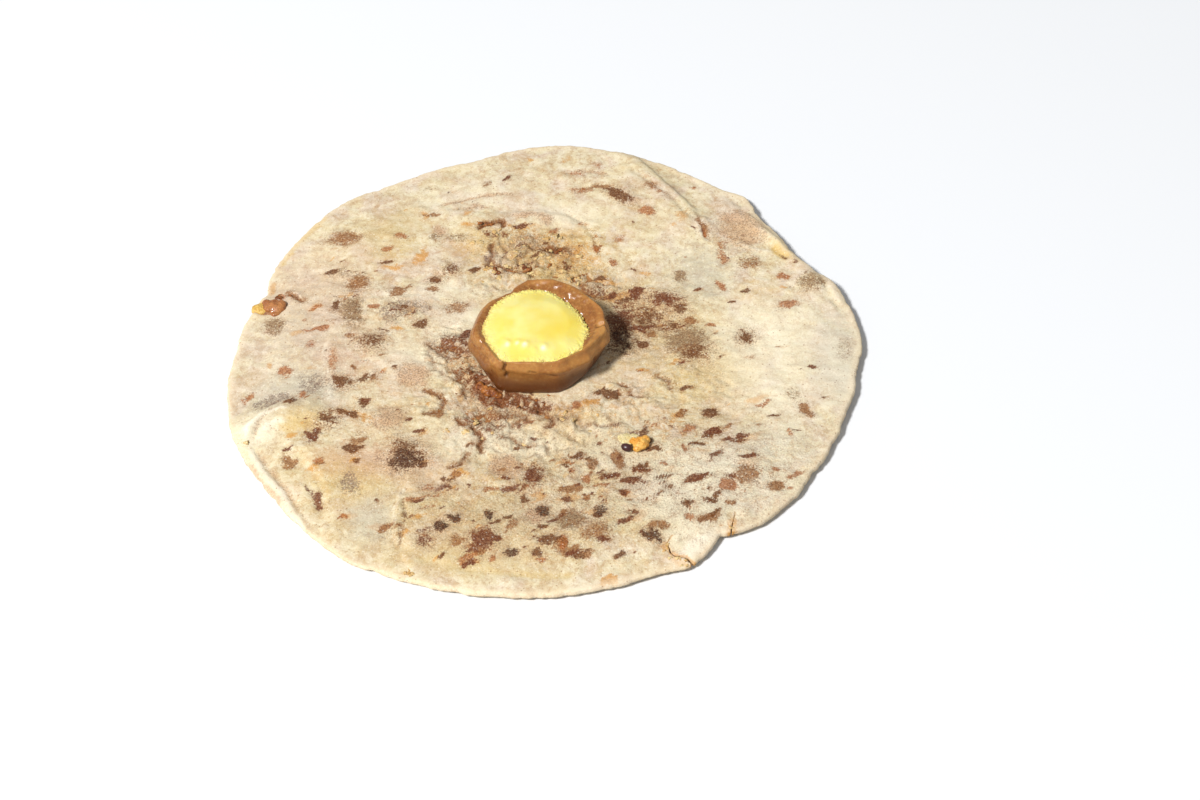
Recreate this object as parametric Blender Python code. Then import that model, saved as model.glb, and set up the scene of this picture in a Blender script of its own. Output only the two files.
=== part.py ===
"""Puran poli: a thin griddle-toasted wheat flatbread with a sweet lentil filling inside,
and a small hand-pressed cup of jaggery dough on it, filled with ghee.

Metres, +Z up. The origin is under the middle of the bread, on the surface that it lies on.
"""

import math

import bmesh
import bpy
from mathutils import Vector, noise

MM = 0.001
GAP = 0.3 * MM  # left between pieces that touch

# The bread's outline: reach from the middle to the rim in mm, every 15 degrees from +X,
# anticlockwise seen from above
RIM_REACH = [
    89.0, 87.2, 82.6, 85.3, 88.0, 89.8, 91.8, 88.9, 87.9, 90.3, 88.9, 87.7,
    89.0, 91.8, 93.2, 93.5, 94.9, 93.2, 91.8, 89.8, 87.1, 87.8, 86.6, 86.7,
]
# Its corners and notches: angle and half width in degrees, height in mm
RIM_CORNERS = [
    (48.5, 3.5, 2.2), (41.5, 4.0, -1.4), (29.0, 4.0, -1.2), (22.0, 4.0, -1.2),
    (295.3, 3.5, 2.6), (302.6, 3.5, -1.9), (355.0, 4.0, -1.2), (105.0, 5.0, -1.0),
    (245.0, 6.0, -0.9), (214.0, 8.0, -0.8),
]
RIM_RAG = 0.45 * MM  # how far the rim wanders in and out between those points
RIM_RAG_SPAN = 7 * MM

# The bread's section: flat in the middle, thinner and lifted off the table towards the rim
THICK_MIDDLE = 3.8 * MM
THICK_RIM = 1.7 * MM
THIN_FROM = 0.74  # share of the reach where the bread starts to thin
LIFT_FROM = 0.66  # share of the reach where it leaves the table
RIM_LIFT = [1.9, 2.2, 1.2, 0.9, 0.8, 0.7, 0.7, 0.9, 1.0, 1.1, 1.2, 1.3]  # mm, every 30 degrees
EDGE_ROUND = 0.7 * MM  # how far the top and the underside stop short of the rim

TOP_CELLS = 52  # squares along each side of the top skin's grid, before it is bent into a disc
UNDER_CELLS = TOP_CELLS // 2
UNDER_SHARE = 0.94  # the underside's grid ends here, and a strip of triangles joins it to the rim

# Gentle waves of the rolled dough: (span, height) in mm
WAVES = [(31, 0.55), (13, 0.32), (6.5, 0.22)]

# Blisters raised by steam: (x, y, radius, height) in mm
BLISTERS = [
    (-38.0, -43.4, 9.0, 0.9), (-44.8, 13.6, 6.5, 0.7), (-50.2, 1.0, 7.0, 0.7),
    (-56.9, 14.4, 6.5, 0.6), (-61.4, 46.1, 7.5, 0.5), (-43.5, -29.3, 6.5, 0.6),
    (-4.9, -51.5, 8.0, 0.8), (-16.4, -73.4, 6.5, 0.6), (13.4, -71.3, 7.0, 0.8),
    (27.2, -73.4, 6.0, 0.6), (39.1, 0.6, 8.5, 0.9), (32.9, 19.6, 6.5, 0.6),
    (56.2, 50.2, 9.0, 0.8), (53.8, -50.8, 6.0, 0.5), (71.0, 12.0, 7.0, 0.5),
    (20.5, 65.0, 7.0, 0.5), (-29.5, 32.2, 6.0, 0.5), (-66.0, -40.0, 7.0, 0.6),
]

# A pleat that runs in from the far rim: one side of it lies over the other
PLEAT = [(24.3, 86.0), (33.9, 72.1), (43.6, 58.9)]
PLEAT_STEP = 1.1 * MM
PLEAT_SHARP = 3 * MM  # how wide the step is
PLEAT_FADE = 16 * MM
# The rim rolled up at the right, with a groove behind the roll
ROLL = [(60.4, 58.5), (70.3, 43.0), (79.1, 28.4)]
ROLL_HEIGHT = 1.3 * MM
ROLL_WIDTH = 6.4 * MM
GROOVE = [(56.6, 53.4), (64.7, 42.0), (70.2, 35.3), (74.6, 29.1)]
GROOVE_DEPTH = 0.8 * MM
GROOVE_WIDTH = 2.8 * MM
# A small fold near the left rim
FOLD = [(-82.7, -32.7), (-78.7, -27.0), (-74.0, -23.8), (-68.6, -22.7)]
FOLD_HEIGHT = 0.8 * MM
FOLD_WIDTH = 2.6 * MM

# Under the cup the bread is left flat: how far from the cup's middle, and how fast the relief begins
CUP_PRINT = 20.5 * MM
CUP_PRINT_EDGE = 2.5 * MM

# Craggy, moist crust round the foot of the cup
CRAG_REACH = 27 * MM
CRAG_FADE = 8 * MM
CRAG_HEIGHT = 0.9 * MM
CRAG_SPAN = 4.2 * MM
CRAG_SEED = Vector((3.1, 7.7, 0.4))

# Cracks through the rim at the lower right, from the rim inwards, in mm
CRACKS = [
    [(40.8, -83.5), (36.6, -79.2), (32.8, -77.7), (31.9, -74.9), (33.3, -72.7)],
    [(49.0, -75.5), (48.7, -70.5), (49.4, -67.3), (50.0, -64.4)],
]
CRACK_WIDTH = 1.1 * MM
CRACK_TAPER = 0.75  # how much narrower a crack is at its inner end
BLADE_LOW, BLADE_HIGH = -1 * MM, 12 * MM  # the cutters reach from below the bread to above it

# The lentil filling: a thin disc inside the bread, which shows where the left rim is torn
FILLING_INSET = 6.5 * MM  # how far short of the rim the filling ends
FILLING_THICK = 1.2 * MM
FILLING_SIDES = 40
FILLING_ROWS = 8
POCKET_EDGE = 4  # the pocket goes on past the filling's edge by this many gaps
LUMP = (-80.6, 16.6)  # mm: the lump of filling in the torn rim
LUMP_SIZE = (9.4 * MM, 6.2 * MM, 3.1 * MM)  # outwards, along the rim, up
LUMP_RISE = 1.3 * MM  # its middle, above the bread's underside
LUMP_ROUGH = 0.22  # how far its surface wanders, as a share of its size
LUMP_KNOBS = 5.2  # how many knobs across it

# A crumb of filling and a dark seed on the bread: (x, y), size, in mm
CRUMB = ((25.4, -39.2), (6.0, 4.8, 3.4))
SEED = ((21.4, -41.2), (3.0, 2.6, 2.4))
PEBBLE_ROUGH = 0.25  # how far their surface wanders, as a share of their size
PEBBLE_KNOBS = 4  # how many knobs across
PEBBLE_RISE = 0.22  # their middle above the bread, as a share of their height

# The cup, corner by corner of its pressed sides: angle in degrees, then in mm the reach of its
# crest, belly and foot, the crest's height, and the reach of the ghee
CUP_MIDDLE = (-2.5, -3.0)
CUP_CORNERS = [
    (-12, 19.0, 19.8, 15.5, 12.4, 13.9),
    (15, 18.2, 19.0, 15.5, 12.7, 12.9),
    (51, 16.4, 17.6, 15.0, 12.9, 12.0),
    (79, 17.4, 18.2, 15.2, 12.3, 12.8),
    (101, 18.2, 18.8, 15.6, 11.7, 14.1),
    (124, 15.9, 17.2, 15.4, 10.9, 14.3),
    (152, 16.8, 18.6, 16.4, 11.1, 14.9),
    (190, 18.2, 20.2, 18.0, 11.5, 16.1),
    (236, 19.2, 19.9, 18.6, 11.7, 18.1),
    (289, 16.8, 17.9, 16.8, 11.8, 16.2),
    (318, 17.0, 18.6, 16.0, 12.3, 15.5),
]
CUP_SIDES = 60
CUP_FLATNESS = 0.8  # 1 would make the sides between the corners quite straight, 0 quite round

# The cup's section, with heights above its foot
FOOT_RING = 0.6  # share of the foot's reach where its flat face has a ring of points
CUP_BELLY_HEIGHT = 8.3 * MM
CUP_WAIST = (0.45, 0.22)  # between foot and belly: share of the way out, share of the way up
CUP_SHOULDER = (0.4, 0.8 * MM)  # between crest and belly: share of the way out, drop from the crest
CUP_FLOOR = 3.6 * MM
FLOOR_EDGE = (0.72, 0.9 * MM)  # where the hollow's floor turns up: share of the reach, rise
GHEE_LEVEL = 10.6 * MM
GHEE_SLOPE = (1.3 * MM, 3 * MM)  # how much the hollow narrows, and how far down

# The ghee's low dome: height, then its edge and its shoulder
GHEE_DOME = 1.1 * MM
GHEE_EDGE = (1.4 * MM, 0.3)  # how far in, share of the dome's height
GHEE_SHOULDER = (0.62, 0.8)  # share of the reach, share of the dome's height
GHEE_SINK = 0.1 * MM  # how far the ghee's edge lies below the hollow's

WELD = 0.01 * MM  # points nearer than this are one

DOUGH = ("toasted_dough", (0.79, 0.66, 0.46), 0.78)
FILLING = ("lentil_filling", (0.62, 0.32, 0.09), 0.55)
JAGGERY = ("jaggery_dough", (0.42, 0.19, 0.06), 0.45)
GHEE = ("ghee", (0.95, 0.84, 0.30), 0.28)


def smooth(share):
    """0 below 0, 1 above 1, and an even S between."""
    share = min(max(share, 0.0), 1.0)
    return share * share * (3 - 2 * share)


def around(values, angle):
    """A smooth closed curve through values spaced evenly round the circle."""
    place = angle / math.tau % 1.0 * len(values)
    i = int(place)
    t = place - i
    a, b, c, d = (values[(i + k) % len(values)] for k in (-1, 0, 1, 2))
    return b + 0.5 * t * (c - a + t * (2 * a - 5 * b + 4 * c - d + t * (3 * (b - c) + d - a)))


def reach(angle):
    """From the middle to the rim."""
    plain = around(RIM_REACH, angle) * MM
    for middle, half, height in RIM_CORNERS:
        turn = math.remainder(angle - math.radians(middle), math.tau)
        plain += height * MM * math.exp(-((turn / math.radians(half)) ** 2))
    place = Vector((math.cos(angle), math.sin(angle), 0)) * plain / RIM_RAG_SPAN
    return plain + RIM_RAG * noise.noise(place)


def share_of_reach(x, y):
    """How far out towards the rim a place is, and its angle."""
    angle = math.atan2(y, x)
    return math.hypot(x, y) / reach(angle), angle


def to_line(x, y, points):
    """Distance from a line of points given in mm, and which side of it: 1 right, -1 left."""
    best = (math.inf, 1)
    for (ax, ay), (bx, by) in zip(points, points[1:]):
        ax, ay, bx, by = ax * MM, ay * MM, bx * MM, by * MM
        along = ((x - ax) * (bx - ax) + (y - ay) * (by - ay)) / ((bx - ax) ** 2 + (by - ay) ** 2)
        along = min(max(along, 0.0), 1.0)
        away = math.hypot(x - ax - along * (bx - ax), y - ay - along * (by - ay))
        side = 1 if (bx - ax) * (y - ay) - (by - ay) * (x - ax) < 0 else -1
        best = min(best, (away, side))
    return best


def ridge(x, y, points, width):
    """1 on the line, 0 well away from it."""
    return math.exp(-((to_line(x, y, points)[0] / width) ** 2))


def pleat(x, y):
    """The higher side of the pleat, which falls off away from it."""
    away, side = to_line(x, y, PLEAT)
    sharp = smooth(0.5 + side * away / PLEAT_SHARP)
    return PLEAT_STEP * sharp * math.exp(-((away / PLEAT_FADE) ** 2))


def from_cup(x, y):
    """Distance from the cup's middle."""
    return math.hypot(x - CUP_MIDDLE[0] * MM, y - CUP_MIDDLE[1] * MM)


def crag(x, y):
    """Broken crust round the cup's foot."""
    rough = noise.turbulence(Vector((x, y, 0)) / CRAG_SPAN + CRAG_SEED, 2, True)
    fade = smooth((CRAG_REACH - from_cup(x, y)) / CRAG_FADE)
    return CRAG_HEIGHT * fade * rough


def waves(x, y):
    """The uneven top of hand-rolled dough."""
    return sum(
        height * MM * noise.noise(Vector((x, y, 0)) / (span * MM) + Vector((span, 0, 0)))
        for span, height in WAVES
    )


def blisters(x, y):
    """Low round bumps."""
    rise = 0.0
    for bx, by, radius, height in BLISTERS:
        away = math.hypot(x - bx * MM, y - by * MM) / (radius * MM)
        if away < 1:
            rise += height * MM * (1 - away * away) ** 2
    return rise


def relief(x, y):
    """What stands above the plain section on the top side, left flat under the cup."""
    bare = smooth((from_cup(x, y) - CUP_PRINT) / CUP_PRINT_EDGE)
    rise = waves(x, y) + blisters(x, y) + crag(x, y) + pleat(x, y)
    rise += FOLD_HEIGHT * ridge(x, y, FOLD, FOLD_WIDTH)
    rise -= GROOVE_DEPTH * ridge(x, y, GROOVE, GROOVE_WIDTH)
    return rise * bare


def underside(x, y):
    """Height of the bread's lower face."""
    share, angle = share_of_reach(x, y)
    lift = around(RIM_LIFT, angle) * MM
    lift += ROLL_HEIGHT * ridge(x, y, ROLL, ROLL_WIDTH)
    return lift * smooth((share - LIFT_FROM) / (1 - LIFT_FROM))


def thickness(x, y):
    """The bread's plain thickness."""
    share = share_of_reach(x, y)[0]
    thin = smooth((share - THIN_FROM) / (1 - THIN_FROM))
    return THICK_MIDDLE + (THICK_RIM - THICK_MIDDLE) * thin


def bend_to_disc(u, v):
    """A point of the square from -1 to 1, moved into the unit disc: share of the way out, angle."""
    if abs(u) >= abs(v):
        turn = math.pi / 4 * (v / u if u else 0.0)
        return abs(u), turn + (math.pi if u < 0 else 0.0)
    turn = math.pi / 2 - math.pi / 4 * (u / v)
    return abs(v), turn + (math.pi if v < 0 else 0.0)


def disc_sheet(bm, cells, out_to, inset, height):
    """A grid bent into the bread's outline: its new vertices and the edges round it."""
    made = bmesh.ops.create_grid(bm, x_segments=cells, y_segments=cells, size=1.0)["verts"]
    for vert in made:
        share, angle = bend_to_disc(vert.co.x, vert.co.y)
        far = share * out_to * (reach(angle) - inset)
        x, y = far * math.cos(angle), far * math.sin(angle)
        vert.co = Vector((x, y, height(x, y)))
    own = set(made)
    border = [e for e in bm.edges if e.is_boundary and e.verts[0] in own]
    return made, border


def extrude_border(bm, border, move):
    """A row of faces along the border, whose new vertices are placed by move."""
    made = bmesh.ops.extrude_edge_only(bm, edges=border)["geom"]
    for vert in (v for v in made if isinstance(v, bmesh.types.BMVert)):
        vert.co = move(vert.co)
    return [e for e in made if isinstance(e, bmesh.types.BMEdge) and e.is_boundary]


def rim_point(point, short, up):
    """Where a point above the rim goes: short of the rim, and up from the underside."""
    angle = math.atan2(point.y, point.x)
    far = reach(angle) - short
    x, y = far * math.cos(angle), far * math.sin(angle)
    return Vector((x, y, underside(x, y) + up))


def new_object(name, bm, collection, finish=None):
    """An object from a bmesh, in triangles, shaded smooth, with its material."""
    bmesh.ops.triangulate(bm, faces=bm.faces)
    bmesh.ops.recalc_face_normals(bm, faces=bm.faces)
    mesh = bpy.data.meshes.new(name)
    bm.to_mesh(mesh)
    bm.free()
    mesh.shade_smooth()
    obj = bpy.data.objects.new(name, mesh)
    collection.objects.link(obj)
    if finish:
        mesh.materials.append(material(*finish))
    return obj


def material(name, colour, roughness):
    """A Principled material."""
    made = bpy.data.materials.new(name)
    made.use_nodes = True
    shader = made.node_tree.nodes["Principled BSDF"]
    shader.inputs["Base Color"].default_value = (*colour, 1)
    shader.inputs["Roughness"].default_value = roughness
    shader.inputs["Metallic"].default_value = 0
    return made


def new_collection(name):
    made = bpy.data.collections.new(name)
    bpy.context.scene.collection.children.link(made)
    return made


def hide_cutter(obj):
    obj.hide_render = True
    obj.display_type = "WIRE"
    return obj


def cut(obj, cutter):
    """Takes the cutter's shape out of the object."""
    step = obj.modifiers.new(cutter.name, "BOOLEAN")
    step.operation = "DIFFERENCE"
    step.object = cutter


def settle(obj):
    """Makes the shape that the modifiers give the object's own mesh."""
    evaluated = obj.evaluated_get(bpy.context.evaluated_depsgraph_get())
    mesh = bpy.data.meshes.new_from_object(evaluated)
    obj.modifiers.clear()
    obj.data = mesh


def join_collection(obj, loose):
    """Joins the collection's objects to the object, and removes them."""
    step = obj.modifiers.new(loose.name, "BOOLEAN")
    step.operation = "UNION"
    step.operand_type = "COLLECTION"
    step.collection = loose
    settle(obj)
    for each in list(loose.objects):
        bpy.data.objects.remove(each)
    bpy.data.collections.remove(loose)


def bread(collection):
    """The flatbread: a top skin, a rounded rim and a coarser underside."""
    bm = bmesh.new()

    def top(x, y):
        return underside(x, y) + thickness(x, y) + relief(x, y)

    border = disc_sheet(bm, TOP_CELLS, 1.0, EDGE_ROUND, top)[1]
    border = extrude_border(bm, border, lambda p: rim_point(p, 0, THICK_RIM / 2))
    border = extrude_border(bm, border, lambda p: rim_point(p, EDGE_ROUND, 0))
    under = disc_sheet(bm, UNDER_CELLS, UNDER_SHARE, 0, underside)[1]
    bmesh.ops.bridge_loops(bm, edges=border + under)
    return new_object("poli", bm, collection, DOUGH)


def blade(name, points, collection):
    """A thin upright wedge along a crack, widest where it leaves the rim."""
    line = [Vector((x, y)) * MM for x, y in points]
    left, right = [], []
    for i, here in enumerate(line):
        along = (line[min(i + 1, len(line) - 1)] - line[max(i - 1, 0)]).normalized()
        across = Vector((-along.y, along.x))
        half = CRACK_WIDTH / 2 * (1 - CRACK_TAPER * i / (len(line) - 1))
        left.append(here + across * half)
        right.append(here - across * half)
    bm = bmesh.new()
    corners = [bm.verts.new((p.x, p.y, BLADE_LOW)) for p in left + right[::-1]]
    face = bm.faces.new(corners)
    made = bmesh.ops.extrude_face_region(bm, geom=[face])["geom"]
    for vert in (v for v in made if isinstance(v, bmesh.types.BMVert)):
        vert.co.z = BLADE_HIGH
    return hide_cutter(new_object(name, bm, collection))


def filling_disc(name, extra, collection, finish):
    """The thin disc of filling inside the bread, larger all round by extra."""
    bm = bmesh.new()
    bmesh.ops.create_uvsphere(bm, u_segments=FILLING_SIDES, v_segments=FILLING_ROWS, radius=1.0)
    next_to_edge = math.sin(math.pi / FILLING_ROWS)
    for vert in bm.verts:
        out = math.hypot(vert.co.x, vert.co.y)
        angle = math.atan2(vert.co.y, vert.co.x)
        edge = extra * POCKET_EDGE if abs(vert.co.z) < next_to_edge / 2 else 0.0
        far = out * (reach(angle) - FILLING_INSET) + edge
        x, y = far * math.cos(angle), far * math.sin(angle)
        middle = underside(x, y) + thickness(x, y) / 2
        rise = vert.co.z * FILLING_THICK / 2 + extra * max(-1, min(1, vert.co.z / next_to_edge))
        vert.co = Vector((x, y, middle + rise))
    # each square is split along the same diagonal in the filling and in its pocket
    bmesh.ops.triangulate(bm, faces=bm.faces, quad_method="FIXED")
    return new_object(name, bm, collection, finish)


def filling_lump(name, extra, collection):
    """The uneven lump of filling in the torn rim, larger all round by extra."""
    bm = bmesh.new()
    bmesh.ops.create_icosphere(bm, subdivisions=3, radius=0.5)
    outward = math.atan2(LUMP[1], LUMP[0])
    place = Vector(LUMP) * MM
    foot = underside(*place)
    for vert in bm.verts:
        knobs = 1 + LUMP_ROUGH * noise.noise(vert.co * LUMP_KNOBS)
        size = Vector([side * knobs + 2 * extra for side in LUMP_SIZE])
        along, across, up = vert.co * size
        vert.co.x = place.x + along * math.cos(outward) - across * math.sin(outward)
        vert.co.y = place.y + along * math.sin(outward) + across * math.cos(outward)
        vert.co.z = foot + LUMP_RISE + up
    return new_object(name, bm, collection)


def filling_shape(name, extra, collection, finish=None):
    """The disc of filling and its lump as one, larger all round by extra."""
    disc = filling_disc(name, extra, collection, finish)
    loose = new_collection(name + "_lump")
    filling_lump(name + "_knob", extra, loose)
    join_collection(disc, loose)
    return disc


def pebble(name, place, size, collection):
    """A small uneven lump, sunk a little into the bread."""
    bm = bmesh.new()
    bmesh.ops.create_icosphere(bm, subdivisions=2, radius=0.5)
    x, y = place[0] * MM, place[1] * MM
    foot = underside(x, y) + thickness(x, y) + relief(x, y)
    for vert in bm.verts:
        knobs = 1 + PEBBLE_ROUGH * noise.noise(vert.co * PEBBLE_KNOBS + Vector((*place, 0)))
        vert.co = Vector([c * s * MM * knobs for c, s in zip(vert.co, size)])
        vert.co += Vector((x, y, foot + PEBBLE_RISE * size[2] * MM))
    return new_object(name, bm, collection)


def corner_value(column, angle):
    """A measure between two corners of the cup, in even steps from one to the next."""
    (a0, v0), (a1, v1) = corner_pair(column, angle)
    return v0 + (v1 - v0) * (angle - a0) / (a1 - a0)


def corner_pair(column, angle):
    """The cup's corners on both sides of an angle: (angle, value) each."""
    ring = [(math.radians(row[0]), row[column] * MM) for row in CUP_CORNERS]
    ring.append((ring[0][0] + math.tau, ring[0][1]))
    return next((p, q) for p, q in zip(ring, ring[1:]) if p[0] <= angle <= q[0])


def corner_reach(column, angle):
    """A reach between two corners of the cup: close to the straight side that joins them."""
    (a0, r0), (a1, r1) = corner_pair(column, angle)
    straight = r0 * r1 * math.sin(a1 - a0) / (r0 * math.sin(angle - a0) + r1 * math.sin(a1 - angle))
    return CUP_FLATNESS * straight + (1 - CUP_FLATNESS) * corner_value(column, angle)


def cup_measures(angle):
    """Crest, belly and foot reach, crest height and ghee reach at an angle."""
    crest, belly, foot = (corner_reach(column, angle) for column in (1, 2, 3))
    return crest, belly, foot, corner_value(4, angle), corner_reach(5, angle)


def cup_section(angle):
    """The cup's outline from under its middle, up its side, over the crest and into the hollow."""
    crest, belly, foot, height, ghee = cup_measures(angle)
    return [
        (0, 0),
        (foot * FOOT_RING, 0),
        (foot, 0),
        (foot + CUP_WAIST[0] * (belly - foot), CUP_WAIST[1] * CUP_BELLY_HEIGHT),
        (belly, CUP_BELLY_HEIGHT),
        (crest + CUP_SHOULDER[0] * (belly - crest), height - CUP_SHOULDER[1]),
        (crest, height),
        ((ghee + crest) / 2, (GHEE_LEVEL + height) / 2),
        (ghee, GHEE_LEVEL),
        (ghee - GHEE_SLOPE[0], GHEE_LEVEL - GHEE_SLOPE[1]),
        (ghee * FLOOR_EDGE[0], CUP_FLOOR + FLOOR_EDGE[1]),
        (0, CUP_FLOOR),
    ]


def ghee_section(angle):
    """The ghee's outline: a gap from the hollow, up to its level, and over its low dome."""
    ghee = cup_measures(angle)[4]
    return [
        (0, CUP_FLOOR + GAP),
        (ghee * FLOOR_EDGE[0] - GAP, CUP_FLOOR + FLOOR_EDGE[1] + GAP),
        (ghee - GHEE_SLOPE[0] - GAP, GHEE_LEVEL - GHEE_SLOPE[1]),
        (ghee - GAP, GHEE_LEVEL - GHEE_SINK),
        (ghee - GHEE_EDGE[0], GHEE_LEVEL + GHEE_EDGE[1] * GHEE_DOME),
        (ghee * GHEE_SHOULDER[0], GHEE_LEVEL + GHEE_SHOULDER[1] * GHEE_DOME),
        (0, GHEE_LEVEL + GHEE_DOME),
    ]


def turned(name, section, collection, finish):
    """A hand-turned solid: a section that changes with the angle, closed at both ends."""
    bm = bmesh.new()
    first = math.radians(CUP_CORNERS[0][0])
    rows = len(section(first)) - 1
    bmesh.ops.create_grid(bm, x_segments=CUP_SIDES, y_segments=rows, size=1.0)
    foot = THICK_MIDDLE + GAP
    for vert in bm.verts:
        turn = (vert.co.x + 1) / 2
        angle = first + math.tau * turn
        far, up = section(angle)[round((vert.co.y + 1) / 2 * rows)]
        vert.co.x = CUP_MIDDLE[0] * MM + far * math.cos(angle)
        vert.co.y = CUP_MIDDLE[1] * MM + far * math.sin(angle)
        vert.co.z = foot + up
    bmesh.ops.remove_doubles(bm, verts=bm.verts, dist=WELD)
    return new_object(name, bm, collection, finish)


def main():
    for old in list(bpy.data.objects):
        bpy.data.objects.remove(old)
    parts = new_collection("puran_poli")
    cutters = new_collection("cutters")

    poli = bread(parts)
    pocket = hide_cutter(filling_shape("pocket", GAP, cutters))
    cut(poli, pocket)
    for number, points in enumerate(CRACKS):
        cut(poli, blade(f"crack_{number}", points, cutters))
    crumbs = new_collection("crumbs")
    pebble("crumb", *CRUMB, crumbs)
    pebble("seed", *SEED, crumbs)
    join_collection(poli, crumbs)

    filling_shape("puran_filling", 0.0, parts, FILLING)
    turned("jaggery_cup", cup_section, parts, JAGGERY)
    turned("ghee", ghee_section, parts, GHEE)


main()
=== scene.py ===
"""A puran poli dressed for the camera: the toasted flatbread, its torn rim with the lentil filling,
and the hand-pressed jaggery cup of ghee on it.

Lengths in the tables are millimetres in the part's own frame. +X is to the right, +Y away.
"""

import math
import random

import bmesh
import bpy
import numpy as np
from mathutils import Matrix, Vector, noise
from mathutils.bvhtree import BVHTree


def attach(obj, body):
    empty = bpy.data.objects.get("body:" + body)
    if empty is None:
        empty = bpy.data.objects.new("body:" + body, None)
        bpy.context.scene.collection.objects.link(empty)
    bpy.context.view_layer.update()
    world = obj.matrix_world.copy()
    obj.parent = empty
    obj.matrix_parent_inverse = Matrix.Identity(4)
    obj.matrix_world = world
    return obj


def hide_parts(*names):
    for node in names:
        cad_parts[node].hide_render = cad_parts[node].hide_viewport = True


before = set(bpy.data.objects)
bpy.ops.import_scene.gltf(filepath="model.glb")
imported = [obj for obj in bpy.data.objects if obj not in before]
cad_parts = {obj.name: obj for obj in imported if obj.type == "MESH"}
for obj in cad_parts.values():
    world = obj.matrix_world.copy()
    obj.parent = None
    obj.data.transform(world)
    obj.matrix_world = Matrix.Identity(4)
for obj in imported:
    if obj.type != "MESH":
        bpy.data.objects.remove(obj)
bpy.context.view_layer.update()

# ---------------------------------------------------------------------------------------------
# The table, light and camera: a plain pale top, one soft lamp at the front left that throws the
# cup's shadow to the right, a white room that fills the shadows, and a camera at 45 degrees.

MM = 0.001
TABLE_SIDE = 1.6
TABLE_WHITE = (0.84, 0.85, 0.865)
TABLE_ROUGHNESS = 0.6
LAMP_FROM = (-1.38, -1.33, 2.24)
LAMP_SIDE = 0.46
LAMP_WATTS = 105.0
ROOM_WHITE = (0.96, 0.98, 1.0)
ROOM_LIGHT = 0.33
CAMERA_PLACE = (0.0144, -0.4801, 0.4582)
CAMERA_TILT = 45.226  # degrees up from straight down
CAMERA_LENS = 70


def shade(tree, kind, sockets=None, **settings):
    """Adds a shader node. A socket is given a number, a colour, or the output of another node."""
    made = tree.nodes.new("ShaderNode" + kind)
    for name, value in settings.items():
        setattr(made, name, value)
    for name, value in (sockets or {}).items():
        if isinstance(value, bpy.types.NodeSocket):
            tree.links.new(value, made.inputs[name])
        else:
            made.inputs[name].default_value = value
    return made


def new_material(name):
    """A material with its nodes, and its Principled shader."""
    made = bpy.data.materials.new(name)
    made.use_nodes = True
    return made, made.node_tree, made.node_tree.nodes["Principled BSDF"]


def link_piece(name, mesh, material):
    """A smooth-shaded object for a mesh, in one material."""
    mesh.materials.clear()
    mesh.materials.append(material)
    mesh.shade_smooth()
    piece = bpy.data.objects.new(name, mesh)
    bpy.context.scene.collection.objects.link(piece)
    return piece


def new_piece(name, points, faces, material):
    """A mesh object from points in metres."""
    mesh = bpy.data.meshes.new(name)
    mesh.from_pydata([tuple(p) for p in points], [], [tuple(int(i) for i in f) for f in faces])
    return link_piece(name, mesh, material)


table_finish, _, shader = new_material("table_top")
shader.inputs["Base Color"].default_value = (*TABLE_WHITE, 1)
shader.inputs["Roughness"].default_value = TABLE_ROUGHNESS
half = TABLE_SIDE / 2
table = new_piece(
    "table_top",
    [(-half, -half, 0), (half, -half, 0), (half, half, 0), (-half, half, 0)],
    [(0, 1, 2, 3)],
    table_finish,
)

lamp = bpy.data.objects.new("lamp", bpy.data.lights.new("lamp", "AREA"))
lamp.data.energy = LAMP_WATTS
lamp.data.shape = "DISK"
lamp.data.size = LAMP_SIDE
lamp.location = LAMP_FROM
lamp.rotation_euler = Vector(LAMP_FROM).to_track_quat("Z", "Y").to_euler()
bpy.context.scene.collection.objects.link(lamp)

room = bpy.data.worlds.new("room")
room.use_nodes = True
room_inputs = room.node_tree.nodes["Background"].inputs
room_inputs["Color"].default_value = (*ROOM_WHITE, 1)
room_inputs["Strength"].default_value = ROOM_LIGHT
bpy.context.scene.world = room

camera = bpy.data.objects.new("camera", bpy.data.cameras.new("camera"))
camera.data.lens = CAMERA_LENS
camera.location = CAMERA_PLACE
camera.rotation_euler = (math.radians(CAMERA_TILT), 0, 0)
bpy.context.scene.collection.objects.link(camera)
bpy.context.scene.camera = camera
bpy.context.scene.view_settings.view_transform = "Standard"

# ---------------------------------------------------------------------------------------------
# The flatbread: whole-wheat dough rolled thin round its filling and toasted on a griddle. Its
# skin is one fine closed mesh laid over the CAD solid, with the broken crust, flakes, folds and
# ragged rim worked into the mesh. Griddle marks are kept as amounts on the mesh's points.

SKIN_CELLS = 260  # squares along each side of the top's grid
UNDER_CELLS = SKIN_CELLS // 2
UNDER_SHARE = 0.95  # the underside's grid ends at this share of the reach
CROWDING = 0.22  # how much closer the points lie in the middle than at the rim
TOP_LOOK = 0.996  # the top is read from the solid at this share of the reach, and the underside
UNDER_LOOK = 0.998  # at this one, so that no look misses the solid
LOOK_FROM = 0.1  # metres above or below the table
SMOOTHING = 12  # rounds of evening out the top, which is read from flat facets
UNDER_SMOOTHING = 4
BRIDGING = 400  # rounds of filling in what is bridged over
CUP_MIDDLE = (-2.5, -3.0)
CUP_FOOT_COVERS = (11.5, 3.0)  # from the cup's middle: where the relief starts, and how fast
CUP_SQUEEZES = (0.55, 17.0, 2.6)  # the dough that the foot squeezes up: height, where, half width

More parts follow.
